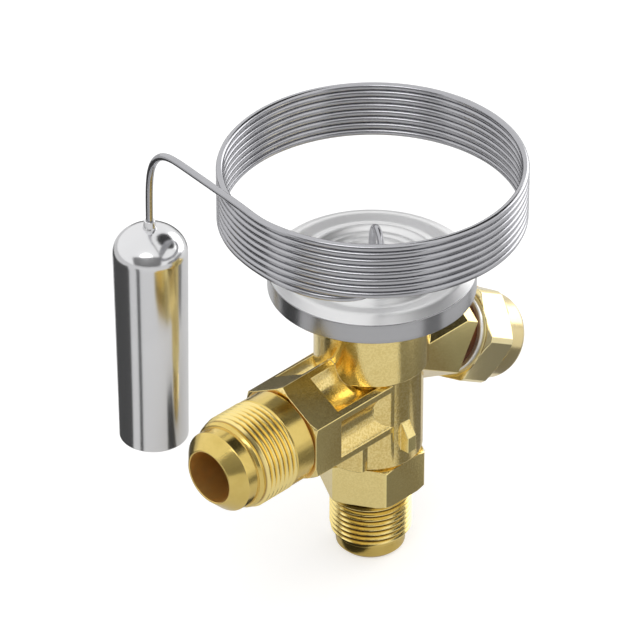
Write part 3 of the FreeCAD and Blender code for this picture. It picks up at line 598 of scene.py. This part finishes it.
def flat_below(piece: Piece, angle: float) -> Piece:
    """Shades a piece smooth but for its sharp edges.

    Args:
        piece: the piece.
        angle: an edge between faces that differ by more than this many degrees stays hard.

    Returns:
        The piece.
    """
    piece.data.shade_smooth()
    piece.data.set_sharp_from_angle(angle=math.radians(angle))
    return piece


def even_normals(piece: Piece, sharp: float = 60.0) -> Piece:
    """Keeps large faces flat beside small rounded edges, by weighting the normals with area.

    Args:
        piece: the piece.
        sharp: an edge between faces that differ by more than this many degrees stays hard.

    Returns:
        The piece as a plain mesh.
    """
    flat_below(piece, sharp)
    weighted = piece.modifiers.new("even_normals", "WEIGHTED_NORMAL")
    weighted.mode = "FACE_AREA"
    weighted.keep_sharp = True
    return settled(piece)


def eased_edges(piece: Piece, width: float, angle: float = 24.0) -> Piece:
    """Rounds the edges of a piece that are sharper than an angle.

    Args:
        piece: the piece.
        width: the rounding's width in millimetres.
        angle: the least angle between two faces, in degrees.

    Returns:
        The piece as a plain mesh.
    """
    bevel = piece.modifiers.new("eased_edges", "BEVEL")
    bevel.width = width * MM
    bevel.segments = 2
    bevel.limit_method = "ANGLE"
    bevel.angle_limit = math.radians(angle)
    bevel.use_clamp_overlap = False
    return settled(piece)


def placed(piece: Piece, body: str, slot: str, *replaced: str) -> Piece:
    """Rides a finished piece on its body.

    Args:
        piece: the piece.
        body: the body it moves with.
        slot: the record's material slot; not used.
        replaced: the solids that it stands for.

    Returns:
        The piece.
    """
    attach(piece, body)
    if replaced:
        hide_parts(*replaced)
    LOG.info("%s: %d faces on %s", piece.name, len(piece.data.polygons), body)
    return piece


def rounded(
        outline: Sequence[Corner], steps: int = 4, longest: float = 0.48,
) -> list[tuple[float, float]]:
    """Rounds the corners of a closed outline.

    Args:
        outline: corners as radius, height and rounding in millimetres.
        steps: edges of each rounding.
        longest: the most of each side that a rounding takes.

    Returns:
        The outline's points as radius and height.
    """
    points: list[tuple[float, float]] = []
    for index, (radius, height, rounding) in enumerate(outline):
        corner = Vector((radius, height))
        if rounding == 0:
            points.append((radius, height))
            continue
        before = Vector(outline[index - 1][:2]) - corner
        after = Vector(outline[(index + 1) % len(outline)][:2]) - corner
        half = before.angle(after) / 2
        leg = min(rounding / math.tan(half), before.length * longest, after.length * longest)
        inwards = (before.normalized() + after.normalized()).normalized()
        centre = corner + inwards * (leg / math.cos(half))
        start = corner + before.normalized() * leg - centre
        end = corner + after.normalized() * leg - centre
        sweep = start.angle_signed(end)
        for step in range(steps + 1):
            turned = Matrix.Rotation(-sweep * step / steps, 2) @ start
            points.append(tuple(centre + turned))
    return points


def turned_mesh(
        name: str, outline: Sequence[Corner], axis: Axis, segments: int = 128,
) -> Mesh:
    """Turns a closed outline about an axis.

    Args:
        name: the mesh's name.
        outline: corners as radius, height along the axis and rounding, in millimetres.
        axis: the axis it is turned about.
        segments: faces round it.

    Returns:
        A closed mesh in metres.
    """
    shape = bmesh.new()
    place = axis.placement()
    rings = []
    for radius, height in rounded(outline):
        angles = [math.tau * step / segments for step in range(segments if radius else 1)]
        rings.append([
            shape.verts.new(place @ (Vector((
                radius * math.cos(angle), radius * math.sin(angle), height)) * MM))
            for angle in angles
        ])
    for ring, following in zip(rings, rings[1:] + rings[:1]):
        for step in range(segments):
            ahead = (step + 1) % segments
            corners = list(dict.fromkeys((
                ring[step % len(ring)], ring[ahead % len(ring)],
                following[ahead % len(following)], following[step % len(following)],
            )))
            if len(corners) > 2:
                shape.faces.new(corners)
    bmesh.ops.recalc_face_normals(shape, faces=shape.faces)
    mesh = bpy.data.meshes.new(name)
    shape.to_mesh(mesh)
    shape.free()
    return mesh


def merged_copy(
        node: str, name: str, gap: float = 0.002, flat: float = 0.4, sliver: float = 0.02,
) -> Mesh:
    """A copy of a solid's mesh with its vertices merged and its flat faces whole.

    Args:
        node: the solid.
        name: the copy's name.
        gap: vertices closer than this many millimetres become one.
        flat: faces that differ by less than this many degrees become one.
        sliver: edges shorter than this many millimetres are closed up.

    Returns:
        The new mesh.
    """
    shape = bmesh.new()
    shape.from_mesh(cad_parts[node].data)
    bmesh.ops.remove_doubles(shape, verts=shape.verts, dist=gap * MM)
    bmesh.ops.dissolve_limit(
        shape, angle_limit=math.radians(flat), verts=shape.verts, edges=shape.edges,
        delimit={"NORMAL"})
    bmesh.ops.dissolve_degenerate(shape, dist=sliver * MM, edges=shape.edges)
    mesh = bpy.data.meshes.new(name)
    shape.to_mesh(mesh)
    shape.free()
    return mesh


@dataclass(frozen=True)
class HelicalThread:
    """A screw thread in millimetres.

    The solid's plain cylinder of blank_r is turned down to root_r between the two heights of cut,
    and a ridge is wound on it between the two heights of ridge.
    """

    name: str
    axis: Axis
    blank_r: float
    root_r: float
    cut: tuple[float, float]
    depth: float
    ridge: tuple[float, float]
    pitch: float = 1.38
    run_out: float = 0.55
    steps: int = 72
    blank_play: float = 0.03
    sharp: float = 25.0

    FOOT_SHARE = 0.985
    CREST_SHARE = 0.15
    OUT_SHARE = 0.47
    LEAST_SIZE = 0.03

    @classmethod
    def tree(cls) -> Tree:
        """The geometry nodes that wind a ridge round Z.

        Returns:
            The tree, which is built once.
        """
        ready = bpy.data.node_groups.get("wound_thread")
        if ready:
            return ready
        board, given = new_group(
            "wound_thread", "Geometry",
            {"Root": "Float", "Depth": "Float", "Pitch": "Float", "Turns": "Float",
             "Run Out": "Float", "Steps": "Int", "Material": "Material"},
            {"Geometry": "Geometry"},
        )
        helix = board.add("GeometryNodeCurveSpiral", {
            "Resolution": given["Steps"], "Rotations": given["Turns"],
            "Start Radius": given["Root"], "End Radius": given["Root"],
            "Height": board.math("MULTIPLY", given["Pitch"], given["Turns"]), "Reverse": True,
        })
        level = board.add(
            "GeometryNodeSetCurveNormal", {"Curve": helix.outputs[0]}, mode="Z_UP")
        section = board.add("GeometryNodeCurvePrimitiveQuadrilateral", {
            "Bottom Width": board.math("MULTIPLY", given["Pitch"], cls.FOOT_SHARE),
            "Top Width": board.math("MULTIPLY", given["Pitch"], cls.CREST_SHARE),
            "Height": given["Depth"], "Offset": 0.0,
        }, mode="TRAPEZOID")
        out = board.add("ShaderNodeCombineXYZ", {
            0: board.math("MULTIPLY", given["Depth"], cls.OUT_SHARE)})
        upright = board.add("GeometryNodeTransform", {
            "Geometry": section.outputs[0], "Translation": out.outputs[0],
            "Rotation": (0.0, 0.0, -math.pi / 2),
        })
        share = board.add("GeometryNodeSplineParameter").outputs["Factor"]
        fade = board.math("DIVIDE", given["Turns"], given["Run Out"])
        start = board.math("MULTIPLY", share, fade)
        end = board.math("MULTIPLY", board.math("SUBTRACT", 1.0, share), fade)
        size = board.math("MINIMUM", board.math("MINIMUM", start, end), 1.0)
        swept = board.add("GeometryNodeCurveToMesh", {
            "Curve": level.outputs[0], "Profile Curve": upright.outputs[0],
            "Scale": board.math("MAXIMUM", size, cls.LEAST_SIZE), "Fill Caps": True,
        })
        return board.end_geometry(swept.outputs[0], given["Material"])

    def cut_back(self, mesh: Mesh) -> None:
        """Turns the plain cylinder down to the root.

        Args:
            mesh: the solid's mesh, in metres.
        """
        low, high = self.cut
        for vertex in mesh.vertices:
            along, across = self.axis.along_and_across(vertex.co)
            if low < along < high and abs(across - self.blank_r) < self.blank_play:
                foot = self.axis.start + self.axis.direction * (along * MM)
                vertex.co = foot + (vertex.co - foot) * (self.root_r / across)

    def wind(self, material: Material) -> None:
        """Winds the ridge as a plain closed mesh on its axis.

        Args:
            material: its finish.
        """
        low, high = self.ridge
        piece = grown(self.name, self.tree(), bpy.data.meshes.new(self.name), {
            "Root": self.root_r * MM, "Depth": self.depth * MM, "Pitch": self.pitch * MM,
            "Turns": (high - low) / self.pitch, "Run Out": self.run_out, "Steps": self.steps,
            "Material": material,
        })
        piece.data.transform(self.axis.placement() @ Matrix.Translation((0, 0, low * MM)))
        placed(flat_below(closed_outwards(piece), self.sharp), "valve", "turned_brass")


class BodyZone(Enum):
    """The parts of the forging with a finish of their own, by the number of that finish."""

    FORGED = 0
    INLET = 1
    OUTLET = 2
    # The recess before the washer, which takes the dark brass of painted shade.
    SHADED_COLLAR = 3
    BORE = 4
    SPIGOT = 5


@dataclass
class ForgedBody:
    """The brass forging: flares with cut threads, hexagons, troughs and bores; millimetres."""

    finishes: Finishes
    edge: float = 0.16
    sharp: float = 50.0
    inlet_thread: HelicalThread = HelicalThread(
        "inlet_flare_thread", Axis.VALVE, 9.525, 8.68, (4.5, 15.6), 0.875, (4.6, 15.9))
    outlet_thread: HelicalThread = HelicalThread(
        "outlet_flare_thread", Axis.OUTLET, 11.11, 10.26, (7.0, 20.9), 0.875, (7.3, 17.6))
    cap_thread: HelicalThread = HelicalThread(
        "seal_cap_thread", Axis.SPINDLE, 8.0, 7.32, (28.8, 36.9), 0.68, (28.7, 37.0))
    outlet_land: tuple[Corner, ...] = (
        (10.0, 16.2, 0), (11.0, 17.2, 0.2), (11.0, 22.3, 0.1), (10.0, 22.5, 0))
    inlet_turned_end: float = 17.4
    outlet_turned_end: float = 22.6
    outlet_turned_r: float = 12.0
    outlet_bore_end: float = 57.0
    outlet_bore_r: float = 6.25
    spigot_start: float = 23.85
    spigot_end: float = 28.6
    spigot_r: float = 9.4

    def _zone(self, middle: Vector) -> BodyZone:
        """The part of the forging that a face belongs to.

        Args:
            middle: the face's middle in metres.

        Returns:
            Its zone.
        """
        along, across = Axis.OUTLET.along_and_across(middle)
        if across < self.outlet_bore_r and along < self.outlet_bore_end:
            return BodyZone.BORE
        if along < self.outlet_turned_end and across < self.outlet_turned_r:
            return BodyZone.OUTLET
        if Axis.VALVE.along_and_across(middle)[0] < self.inlet_turned_end:
            return BodyZone.INLET
        along, across = Axis.SPINDLE.along_and_across(middle)
        if along > self.spigot_start and across < self.spigot_r:
            # Painted shade: the recess before the washer takes the dark brown brass.
            return BodyZone.SHADED_COLLAR if along < self.spigot_end else BodyZone.SPIGOT
        return BodyZone.FORGED

    def build(self) -> None:
        """Dresses the forging, winds its threads and turns the land behind the outlet's."""
        finishes = self.finishes
        mesh = merged_copy("valve_body", "forged_valve_body")
        for thread in (self.inlet_thread, self.outlet_thread, self.cap_thread):
            thread.cut_back(mesh)
        piece = linked(
            "forged_valve_body", mesh, finishes.forged, finishes.inlet, finishes.outlet,
            finishes.shaded_spigot, finishes.bore, finishes.spindle)
        eased_edges(piece, self.edge)
        for face in piece.data.polygons:
            face.material_index = self._zone(face.center).value
        even_normals(piece, self.sharp)
        placed(piece, "valve", "forged_brass", "valve_body")
        self.inlet_thread.wind(finishes.inlet_thread)
        self.outlet_thread.wind(finishes.outlet_thread)
        self.cap_thread.wind(finishes.spigot_thread)
        land = turned_mesh("outlet_plain_land", self.outlet_land, Axis.OUTLET)
        piece = even_normals(linked("outlet_plain_land", land, finishes.outlet))
        placed(piece, "valve", "turned_brass")


@dataclass
class SealCap:
    """The hexagon cap with its washer; millimetres and degrees."""

    finishes: Finishes
    edge: float = 0.18
    edge_angle: float = 15.0
    sharp: float = 35.0
    washer: tuple[Corner, ...] = (
        (8.15, 28.25, 0.2), (10.3, 28.25, 0.45), (10.3, 29.63, 0.45), (8.15, 29.63, 0.2))

    def build(self) -> None:
        """Dresses the cap and turns the washer."""
        mesh = merged_copy("seal_cap", "hexagon_seal_cap")
        cap = linked("hexagon_seal_cap", mesh, self.finishes.cap)
        eased_edges(cap, self.edge, self.edge_angle)
        even_normals(cap, self.sharp)
        placed(cap, "cap", "turned_brass", "seal_cap")
        mesh = turned_mesh("cap_sealing_washer", self.washer, Axis.SPINDLE)
        washer = even_normals(linked("cap_sealing_washer", mesh, self.finishes.washer))
        placed(washer, "washer", "washer_metal", "cap_washer")


@dataclass
class DiaphragmHead:
    """The pressed steel head: flange, welded cover with its waves, and the brazed ferrule."""

    finishes: Finishes
    segments: int = 160
    sharp: float = 40.0
    rim_r: float = 23.4
    cover_low: float = 74.3
    wave_crests: tuple[float, ...] = (12.4, 9.8)
    wave_half: float = 0.9
    wave_low: float = 77.0
    wave_top: float = 77.45
    wave_round: float = 0.8

    def _turned(self, name: str, outline: Sequence[Corner], replaced: str) -> None:
        """Turns one steel piece of the head, whose rim and underside are darker than its top as
        painted shade.

        Args:
            name: the piece's name.
            outline: its corners as radius, height and rounding in millimetres.
            replaced: the solid that it stands for.
        """
        mesh = turned_mesh(name, outline, Axis.VALVE, self.segments)
        piece = linked(name, mesh, self.finishes.head, self.finishes.shaded_rim)
        for face in mesh.polygons:
            along, across = Axis.VALVE.along_and_across(face.center)
            # Painted shade: faces on the rim or below the cover take the darker steel.
            face.material_index = int(across > self.rim_r or along < self.cover_low)
        placed(even_normals(piece, self.sharp), "valve", "head_steel", replaced)

    def build(self) -> None:
        """Turns the flange, the cover and the ferrule."""
        self._turned("head_flange", [
            (9.5, 65.4, 0.2), (11.35, 65.4, 0.3), (11.35, 71.4, 0), (23.6, 71.4, 0.35),
            (23.6, 74.2, 0), (20.5, 74.2, 0), (19.5, 71.9, 0.4), (9.5, 71.9, 0.2),
        ], "lower_housing")
        waves = [
            (crest + out, height, self.wave_round)
            for crest in self.wave_crests
            for out, height in (
                (self.wave_half, self.wave_low), (0.0, self.wave_top),
                (-self.wave_half, self.wave_low))
        ]
        self._turned("pressed_head_cover", [
            (20.5, 74.45, 0), (23.6, 74.45, 0), (23.6, 76.3, 0.25), (20.9, 77.6, 3.0),
            (17.2, 77.0, 2.2), (15.0, 78.3, 1.6), *waves, (1.6, 77.0, 0), (1.6, 75.4, 0),
            (19.5, 75.4, 0.5),
        ], "upper_cover")
        self._turned("head_capillary_ferrule", [
            (0.9, 75.4, 0), (1.6, 75.4, 0), (1.6, 77.0, 0), (3.1, 77.0, 0), (2.5, 77.45, 0.3),
            (2.5, 79.1, 0.3), (1.3, 80.3, 0.25), (0.9, 80.3, 0),
        ], "head_ferrule")


@dataclass
class Capillary:
    """The drawn tube from the head to the bulb, wound into a coil; millimetres and degrees.

    The lead holds the points between the head and the first turn, as angle, radius and height.
    """

    finishes: Finishes
    wire_r: float = 0.84
    sides: int = 16
    sharp: float = 50.0
    turn_r: float = 34.0
    pitch: float = 1.735
    turns: int = 8
    low: float = 90.23
    start: float = 169.3
    points_per_turn: int = 16
    rise: tuple[float, ...] = (79.0, 83.0, 87.0)
    lead: tuple[Corner, ...] = (
        (248.9, 2.64, -1.53), (244.3, 5.85, -4.13), (228.9, 32.7, -0.75), (204.3, 34.8, -0.55),
        (184.3, 34.3, -0.15),
    )
    hook_drop: float = 2.8
    hook_legs: tuple[float, float] = (15.0, 6.0)
    bulb_top: float = 78.7

    def _round(self, degrees: float, radius: float, height: float) -> Vector:
        """A point round the valve axis."""
        angle = math.radians(degrees)
        return Vector((radius * math.cos(angle), radius * math.sin(angle), height))

    def _route(self) -> list[Vector]:
        """The control points of the tube's line, which cuts their corners.

        Returns:
            The points from the ferrule to the bulb.
        """
        points = [Vector((0, 0, height)) for height in self.rise]
        points += [
            self._round(degrees, radius, self.low + height)
            for degrees, radius, height in self.lead]
        step = math.tau / self.points_per_turn
        wide = self.turn_r / (1 - (1 - math.cos(step)) / 3)
        for index in range(self.turns * self.points_per_turn):
            share = (index + 0.5) / self.points_per_turn
            points.append(
                self._round(self.start - 360 * share, wide, self.low + self.pitch * share))
        top = self.low + self.pitch * self.turns
        end = self._round(self.start, self.turn_r, top)
        corner = Vector((*BULB_PLACE, top - self.hook_drop))
        back = (end - corner).normalized()
        down = Vector((0, 0, -1))
        far, near = self.hook_legs
        points += [end, end.lerp(corner, 0.3), corner + back * far, corner + back * near]
        points += [corner + down * near, corner + down * far]
        points.append(Vector((*BULB_PLACE, self.bulb_top)))
        return points

    def _line(self) -> Mesh:
        """The tube's smooth line as a chain of edges.

        Returns:
            The mesh in metres.
        """
        data = bpy.data.curves.new("capillary_line", "CURVE")
        data.dimensions = "3D"
        route = self._route()
        spline = data.splines.new("NURBS")
        spline.points.add(len(route) - 1)
        for point, place in zip(spline.points, route):
            point.co = (*(place * MM), 1)
        spline.order_u = 4
        spline.use_endpoint_u = True
        spline.resolution_u = 8
        holder = bpy.data.objects.new("capillary_line", data)
        bpy.context.scene.collection.objects.link(holder)
        evaluated = holder.evaluated_get(bpy.context.evaluated_depsgraph_get())
        line = bpy.data.meshes.new_from_object(evaluated)
        bpy.data.objects.remove(holder)
        return line

    @staticmethod
    def tree() -> Tree:
        """The geometry nodes that draw a round tube along a line of edges.

        Returns:
            The new tree.
        """
        board, given = new_group(
            "drawn_tube", "Geometry",
            {"Geometry": "Geometry", "Radius": "Float", "Sides": "Int", "Material": "Material"},
            {"Geometry": "Geometry"},
        )
        return board.end_wire(
            given["Geometry"], given["Radius"], given["Sides"], given["Material"])

    def build(self) -> None:
        """Draws the tube in one piece."""
        piece = grown("wound_capillary", self.tree(), self._line(), {
            "Radius": self.wire_r * MM, "Sides": self.sides, "Material": self.finishes.wire})
        flat_below(closed_outwards(piece), self.sharp)
        placed(piece, "valve", "wire_steel", "capillary_tube")


@dataclass
class SensingBulb:
    """The polished bulb with its brazed collar; millimetres and degrees."""

    finishes: Finishes
    segments: int = 160
    collar_segments: int = 64
    foot: float = 21.4
    foot_r: float = 8.05
    dome_low: float = 71.7
    dome_r: float = 8.65
    dome_rise: float = 6.7
    dome_step: int = 6
    collar: tuple[Corner, ...] = (
        (0.9, 78.3, 0), (1.7, 78.15, 0.1), (1.45, 78.8, 0.2), (1.25, 80.4, 0.25), (0.9, 80.4, 0))

    def build(self) -> None:
        """Turns the bulb and its collar."""
        dome = []
        for degrees in range(0, 90, self.dome_step):
            angle = math.radians(degrees)
            dome.append((
                self.dome_r * math.cos(angle), self.dome_low + self.dome_rise * math.sin(angle), 0))
        for name, outline, segments, replaced in (
            ("polished_sensing_bulb", [
                (0, self.foot, 0), (self.foot_r, self.foot, 0.4), *dome,
                (0, self.dome_low + self.dome_rise, 0)], self.segments, "sensing_bulb"),
            ("bulb_capillary_collar", self.collar, self.collar_segments, "bulb_ferrule"),
        ):
            mesh = turned_mesh(name, outline, Axis.BULB, segments)
            piece = even_normals(linked(name, mesh, self.finishes.bulb))
            placed(piece, "valve", "bulb_steel", replaced)


@dataclass
class InletStrainer:
    """The wire cloth cone in the inlet, under its pressed ring; millimetres."""

    finishes: Finishes
    wire_r: float = 0.11
    top_r: float = 4.75
    tip_r: float = 1.6
    top: float = 23.3
    tip: float = 7.8
    wires: int = 26
    rounds: int = 24
    sharp: float = 60.0
    ring_segments: int = 96
    ring: tuple[Corner, ...] = (
        (4.35, 23.3, 0.15), (5.15, 23.3, 0.2), (5.15, 25.5, 0.2), (4.35, 25.5, 0.15))

    @staticmethod
    def tree() -> Tree:
        """The geometry nodes that turn a cone's grid into wire cloth.

        Returns:
            The new tree.
        """
        board, given = new_group(
            "wire_cloth_cone", "Geometry",
            {"Wires": "Int", "Rounds": "Int", "Top": "Float", "Tip": "Float", "Length": "Float",
             "Wire": "Float", "Material": "Material"},
            {"Geometry": "Geometry"},
        )
        cone = board.add("GeometryNodeMeshCone", {
            "Vertices": given["Wires"], "Side Segments": given["Rounds"],
            "Radius Top": given["Top"], "Radius Bottom": given["Tip"], "Depth": given["Length"],
        }, fill_type="NONE")
        return board.end_wire(cone.outputs[0], given["Wire"], 5, given["Material"])

    def build(self) -> None:
        """Makes the ring and the cloth cone."""
        mesh = turned_mesh("strainer_ring", self.ring, Axis.VALVE, self.ring_segments)
        piece = even_normals(linked("strainer_ring", mesh, self.finishes.inner))
        placed(piece, "valve", "inner_steel", "inlet_strainer")
        name = "strainer_wire_cloth"
        cloth = grown(name, self.tree(), bpy.data.meshes.new(name), {
            "Wires": self.wires, "Rounds": self.rounds, "Top": self.top_r * MM,
            "Tip": self.tip_r * MM, "Length": (self.top - self.tip) * MM,
            "Wire": self.wire_r * MM, "Material": self.finishes.inner,
        })
        cloth.data.transform(Matrix.Translation((0, 0, self.tip * MM)))
        placed(flat_below(closed_outwards(cloth), self.sharp), "valve", "inner_steel")


@dataclass
class InnerPieces:
    """The pieces inside the forging, which keep their solids and get their finishes."""

    finishes: Finishes

    def build(self) -> None:
        """Gives each remaining solid its material."""
        finishes = self.finishes
        for material, nodes in (
            (finishes.inlet, ("orifice_cartridge", "rod_guide", "spring_seat")),
            (finishes.spindle, ("drive_guide", "setting_spindle", "packing_gland")),
            (finishes.inner, ("valve_cone", "push_rod", "thrust_pad", "superheat_spring")),
            # The diaphragm's edge lies in the head's rim, so it takes the same painted shade.
            (finishes.shaded_rim, ("diaphragm",)),
            (finishes.pin, ("drive_pin",)),
            (finishes.washer, ("head_gasket",)),
            (finishes.rubber, ("cartridge_ring", "spindle_ring")),
        ):
            for node in nodes:
                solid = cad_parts[node]
                solid.data.materials.clear()
                solid.data.materials.append(material)
                LOG.info("%s: %s", node, material.name)


@dataclass(frozen=True)
class FloorCard:
    """A dark sector just above the floor; millimetres and degrees."""

    name: str
    grey: float
    start: float
    end: float
    near: float
    far: float
    centre: tuple[float, float] = (0.0, 0.0)
    lift: float = 0.2

    def corners(self) -> list[Vector]:
        """The sector's corners.

        Returns:
            Four points, two on each side.
        """
        corners = []
        for degrees, reaches in ((self.start, (self.near, self.far)),
                                 (self.end, (self.far, self.near))):
            angle = math.radians(degrees)
            side = Vector((math.cos(angle), math.sin(angle), 0))
            corners += [Vector((*self.centre, self.lift)) + side * reach for reach in reaches]
        return corners


@dataclass(frozen=True)
class Studio:
    """Camera, room, floor, cards and lamps; distances in millimetres."""

    azimuth: float = -45.7
    elevation: float = 34.3
    aim: tuple[float, float, float] = (-2.51, 13.88, 56.47)
    picture_width: float = 145.8
    lens: float = 300.0
    sensor: float = 36.0
    room_low: tuple[float, Colour] = (0.5, (0.16, 0.16, 0.165))
    room_middle: tuple[float, Colour] = (0.72, (0.52, 0.52, 0.53))
    room_high: tuple[float, Colour] = (0.95, (1.0, 1.0, 1.0))
    floor_half: float = 4000.0
    floor_grey: float = 0.62
    floor_direct: float = 0.55
    floor_mirrored: float = 0.13
    floor_cards: tuple[FloorCard, ...] = (
        FloorCard("front_card", 0.23, -83, -45, 26, 112),
        FloorCard("front_far_card", 0.23, -83, -60, 112, 250),
        FloorCard("under_card", 0.06, -10, 10, 74, 92, (-100.0, 0.0)),
        FloorCard("far_card", 0.05, 34, 64, 150, 480),
        FloorCard("back_card", 0.08, 78, 160, 20, 250, BULB_PLACE),
        FloorCard("strip_card", 0.10, 184, 194, 20, 250, BULB_PLACE),
        FloorCard("cap_card", 0.21, -68, -8, 14, 95, (34.0, 0.0)),
    )
    card_pivot: float = 50.0
    upper_grey: float = 0.04
    upper_aim: tuple[float, float, float] = (0.60, -0.12, 0.79)
    upper_reach: float = 560.0
    upper_r: float = 245.0
    upper_sides: int = 24
    camera_grey: float = 0.35
    camera_reach: float = 640.0
    camera_across: tuple[float, float] = (-400.0, 800.0)
    camera_up: tuple[float, float] = (-400.0, 130.0)
    lamp_target: float = 55.0

    def view_back(self) -> Vector:
        """The direction from the object to the camera.

        Returns:
            A unit vector.
        """
        azimuth, elevation = math.radians(self.azimuth), math.radians(self.elevation)
        flat = math.cos(elevation)
        return Vector((
            math.sin(azimuth) * flat, -math.cos(azimuth) * flat, math.sin(elevation)))

    def camera(self) -> None:
        """Puts the camera at the picture's angle, far off with a long lens."""
        data = bpy.data.cameras.new("studio_camera")
        data.lens = self.lens
        data.sensor_width = self.sensor
        distance = self.picture_width * self.lens / self.sensor
        data.clip_start = distance * MM * 0.1
        data.clip_end = distance * MM * 10
        camera = bpy.data.objects.new("studio_camera", data)
        bpy.context.scene.collection.objects.link(camera)
        back = self.view_back()
        camera.location = (Vector(self.aim) + back * distance) * MM
        camera.rotation_mode = "QUATERNION"
        camera.rotation_quaternion = (-back).to_track_quat("-Z", "Y")
        bpy.context.scene.camera = camera

    @staticmethod
    def _seen(board: NodeBoard, direct: float, mirrored: float) -> Socket:
        """How white the background is to this ray.

        Args:
            board: the material or world that asks.
            direct: the value for a camera ray.
            mirrored: the value for a glossy or transmitted ray.

        Returns:
            The value, which is 0 for the rays that light the object.
        """
        rays = board.add("ShaderNodeLightPath").outputs
        bounced = board.math("MAXIMUM", rays["Is Glossy Ray"], rays["Is Transmission Ray"])
        return board.math(
            "MULTIPLY_ADD", bounced, mirrored,
            board.math("MULTIPLY", rays["Is Camera Ray"], direct))

    def world(self) -> None:
        """A pale room, brighter overhead, that shows white behind the object and in its metal."""
        world = bpy.data.worlds.new("pale_room")
        bpy.context.scene.world = world
        world.use_nodes = True
        board = NodeBoard(world.node_tree)
        direction = board.add("ShaderNodeTexCoord").outputs["Generated"]
        height = board.add("ShaderNodeSeparateXYZ", {0: direction}).outputs["Z"]
        ramp = board.add("ShaderNodeValToRGB", {
            "Fac": board.math("MULTIPLY_ADD", height, 0.5, 0.5)})
        stops = ramp.color_ramp.elements
        for stop, (position, colour) in zip(stops, (self.room_low, self.room_high)):
            stop.position = position
            stop.color = (*colour, 1.0)
        position, colour = self.room_middle
        stops.new(position).color = (*colour, 1.0)
        seen = board.math("MINIMUM", self._seen(board, 1.0, 1.0), 1.0)
        board.end_surface("ShaderNodeBackground", {
            "Color": board.blend(seen, ramp.outputs[0], (1.0, 1.0, 1.0)), "Strength": 1.0,
        }, "World")

    def _plane(self, name: str, corners: Sequence[Vector], material: Material) -> Piece:
        """A flat sheet of the stage.

        Args:
            name: its name.
            corners: its corners in order.
            material: its finish.

        Returns:
            The new sheet.
        """
        mesh = bpy.data.meshes.new(name)
        mesh.from_pydata([corner * MM for corner in corners], [], [tuple(range(len(corners)))])
        sheet = linked(name, mesh, material)
        return sheet

    def floor(self) -> None:
        """A pale floor that keeps a soft shadow and shows white to the camera."""
        material, board = new_material("pale_floor")
        board.end_surface("ShaderNodeBsdfPrincipled", {
            "Base Color": (self.floor_grey, self.floor_grey, self.floor_grey, 1.0),
            "Roughness": 0.9, "Specular IOR Level": 0.0, "Emission Color": (1.0, 1.0, 1.0, 1.0),
            "Emission Strength": self._seen(board, self.floor_direct, self.floor_mirrored),
        })
        self._plane("pale_floor", [
            Vector((across, along, 0)) * self.floor_half
            for across, along in ((-1, -1), (1, -1), (1, 1), (-1, 1))
        ], material)

    def _dark_card(self, name: str, grey: float, corners: Sequence[Vector]) -> None:
        """A dark sheet that only the metal sees.

        Args:
            name: its name.
            grey: its brightness.
            corners: its corners in order.
        """
        material, board = new_material(name)
        board.end_surface("ShaderNodeBsdfDiffuse", {"Color": (grey, grey, grey, 1.0)})
        card = self._plane(name, corners, material)
        for kind in ("camera", "diffuse", "shadow", "transmission"):
            setattr(card, f"visible_{kind}", False)

    def dark_cards(self) -> None:
        """Lays the sectors on the floor and hangs a disc overhead and a sheet by the camera."""
        for card in self.floor_cards:
            self._dark_card(card.name, card.grey, card.corners())
        pivot = Vector((0, 0, self.card_pivot))
        aim = Vector(self.upper_aim).normalized()
        turn = aim.to_track_quat("Z", "Y")
        middle = pivot + aim * self.upper_reach
        angles = [math.tau * index / self.upper_sides for index in range(self.upper_sides)]
        self._dark_card("upper_card", self.upper_grey, [
            middle + turn @ Vector((math.cos(angle), math.sin(angle), 0)) * self.upper_r
            for angle in angles])
        back = self.view_back()
        side = back.cross(Vector((0, 0, 1))).normalized()
        rise = side.cross(back)
        middle = pivot + back * self.camera_reach
        left, right = (side * across for across in self.camera_across)
        low, high = (rise * up for up in self.camera_up)
        self._dark_card("camera_card", self.camera_grey, [
            middle + left + low, middle + right + low, middle + right + high,
            middle + left + high])

    def lamp(self, name: str, place: Corner, size: float, watts: float) -> None:
        """One soft round lamp that looks at the valve's middle.

        Args:
            name: the lamp's name.
            place: its middle.
            size: its diameter.
            watts: its power.
        """
        light = bpy.data.lights.new(name, "AREA")
        light.energy = watts
        light.shape = "DISK"
        light.size = size * MM
        lamp = bpy.data.objects.new(name, light)
        lamp.location = Vector(place) * MM
        target = Vector((0, 0, self.lamp_target * MM))
        lamp.rotation_euler = (target - lamp.location).to_track_quat("-Z", "Y").to_euler()
        bpy.context.scene.collection.objects.link(lamp)

    def build(self) -> None:
        """Sets up the whole studio."""
        bpy.context.scene.view_settings.view_transform = "Standard"
        self.camera()
        self.world()
        self.floor()
        self.dark_cards()
        self.lamp("left_key", (-520, -260, 520), 480, 1.3)
        self.lamp("right_edge", (520, -60, 260), 520, 1.0)


def main() -> None:
    """Builds the studio and every sub-assembly in order."""
    logging.basicConfig(level=logging.INFO)
    Studio().build()
    finishes = Finishes()
    builders: tuple[Callable[[Finishes], object], ...] = (
        ForgedBody, SealCap, DiaphragmHead, Capillary, SensingBulb, InletStrainer, InnerPieces,
    )
    for builder in builders:
        builder(finishes).build()


if __name__ == "__main__":
    main()
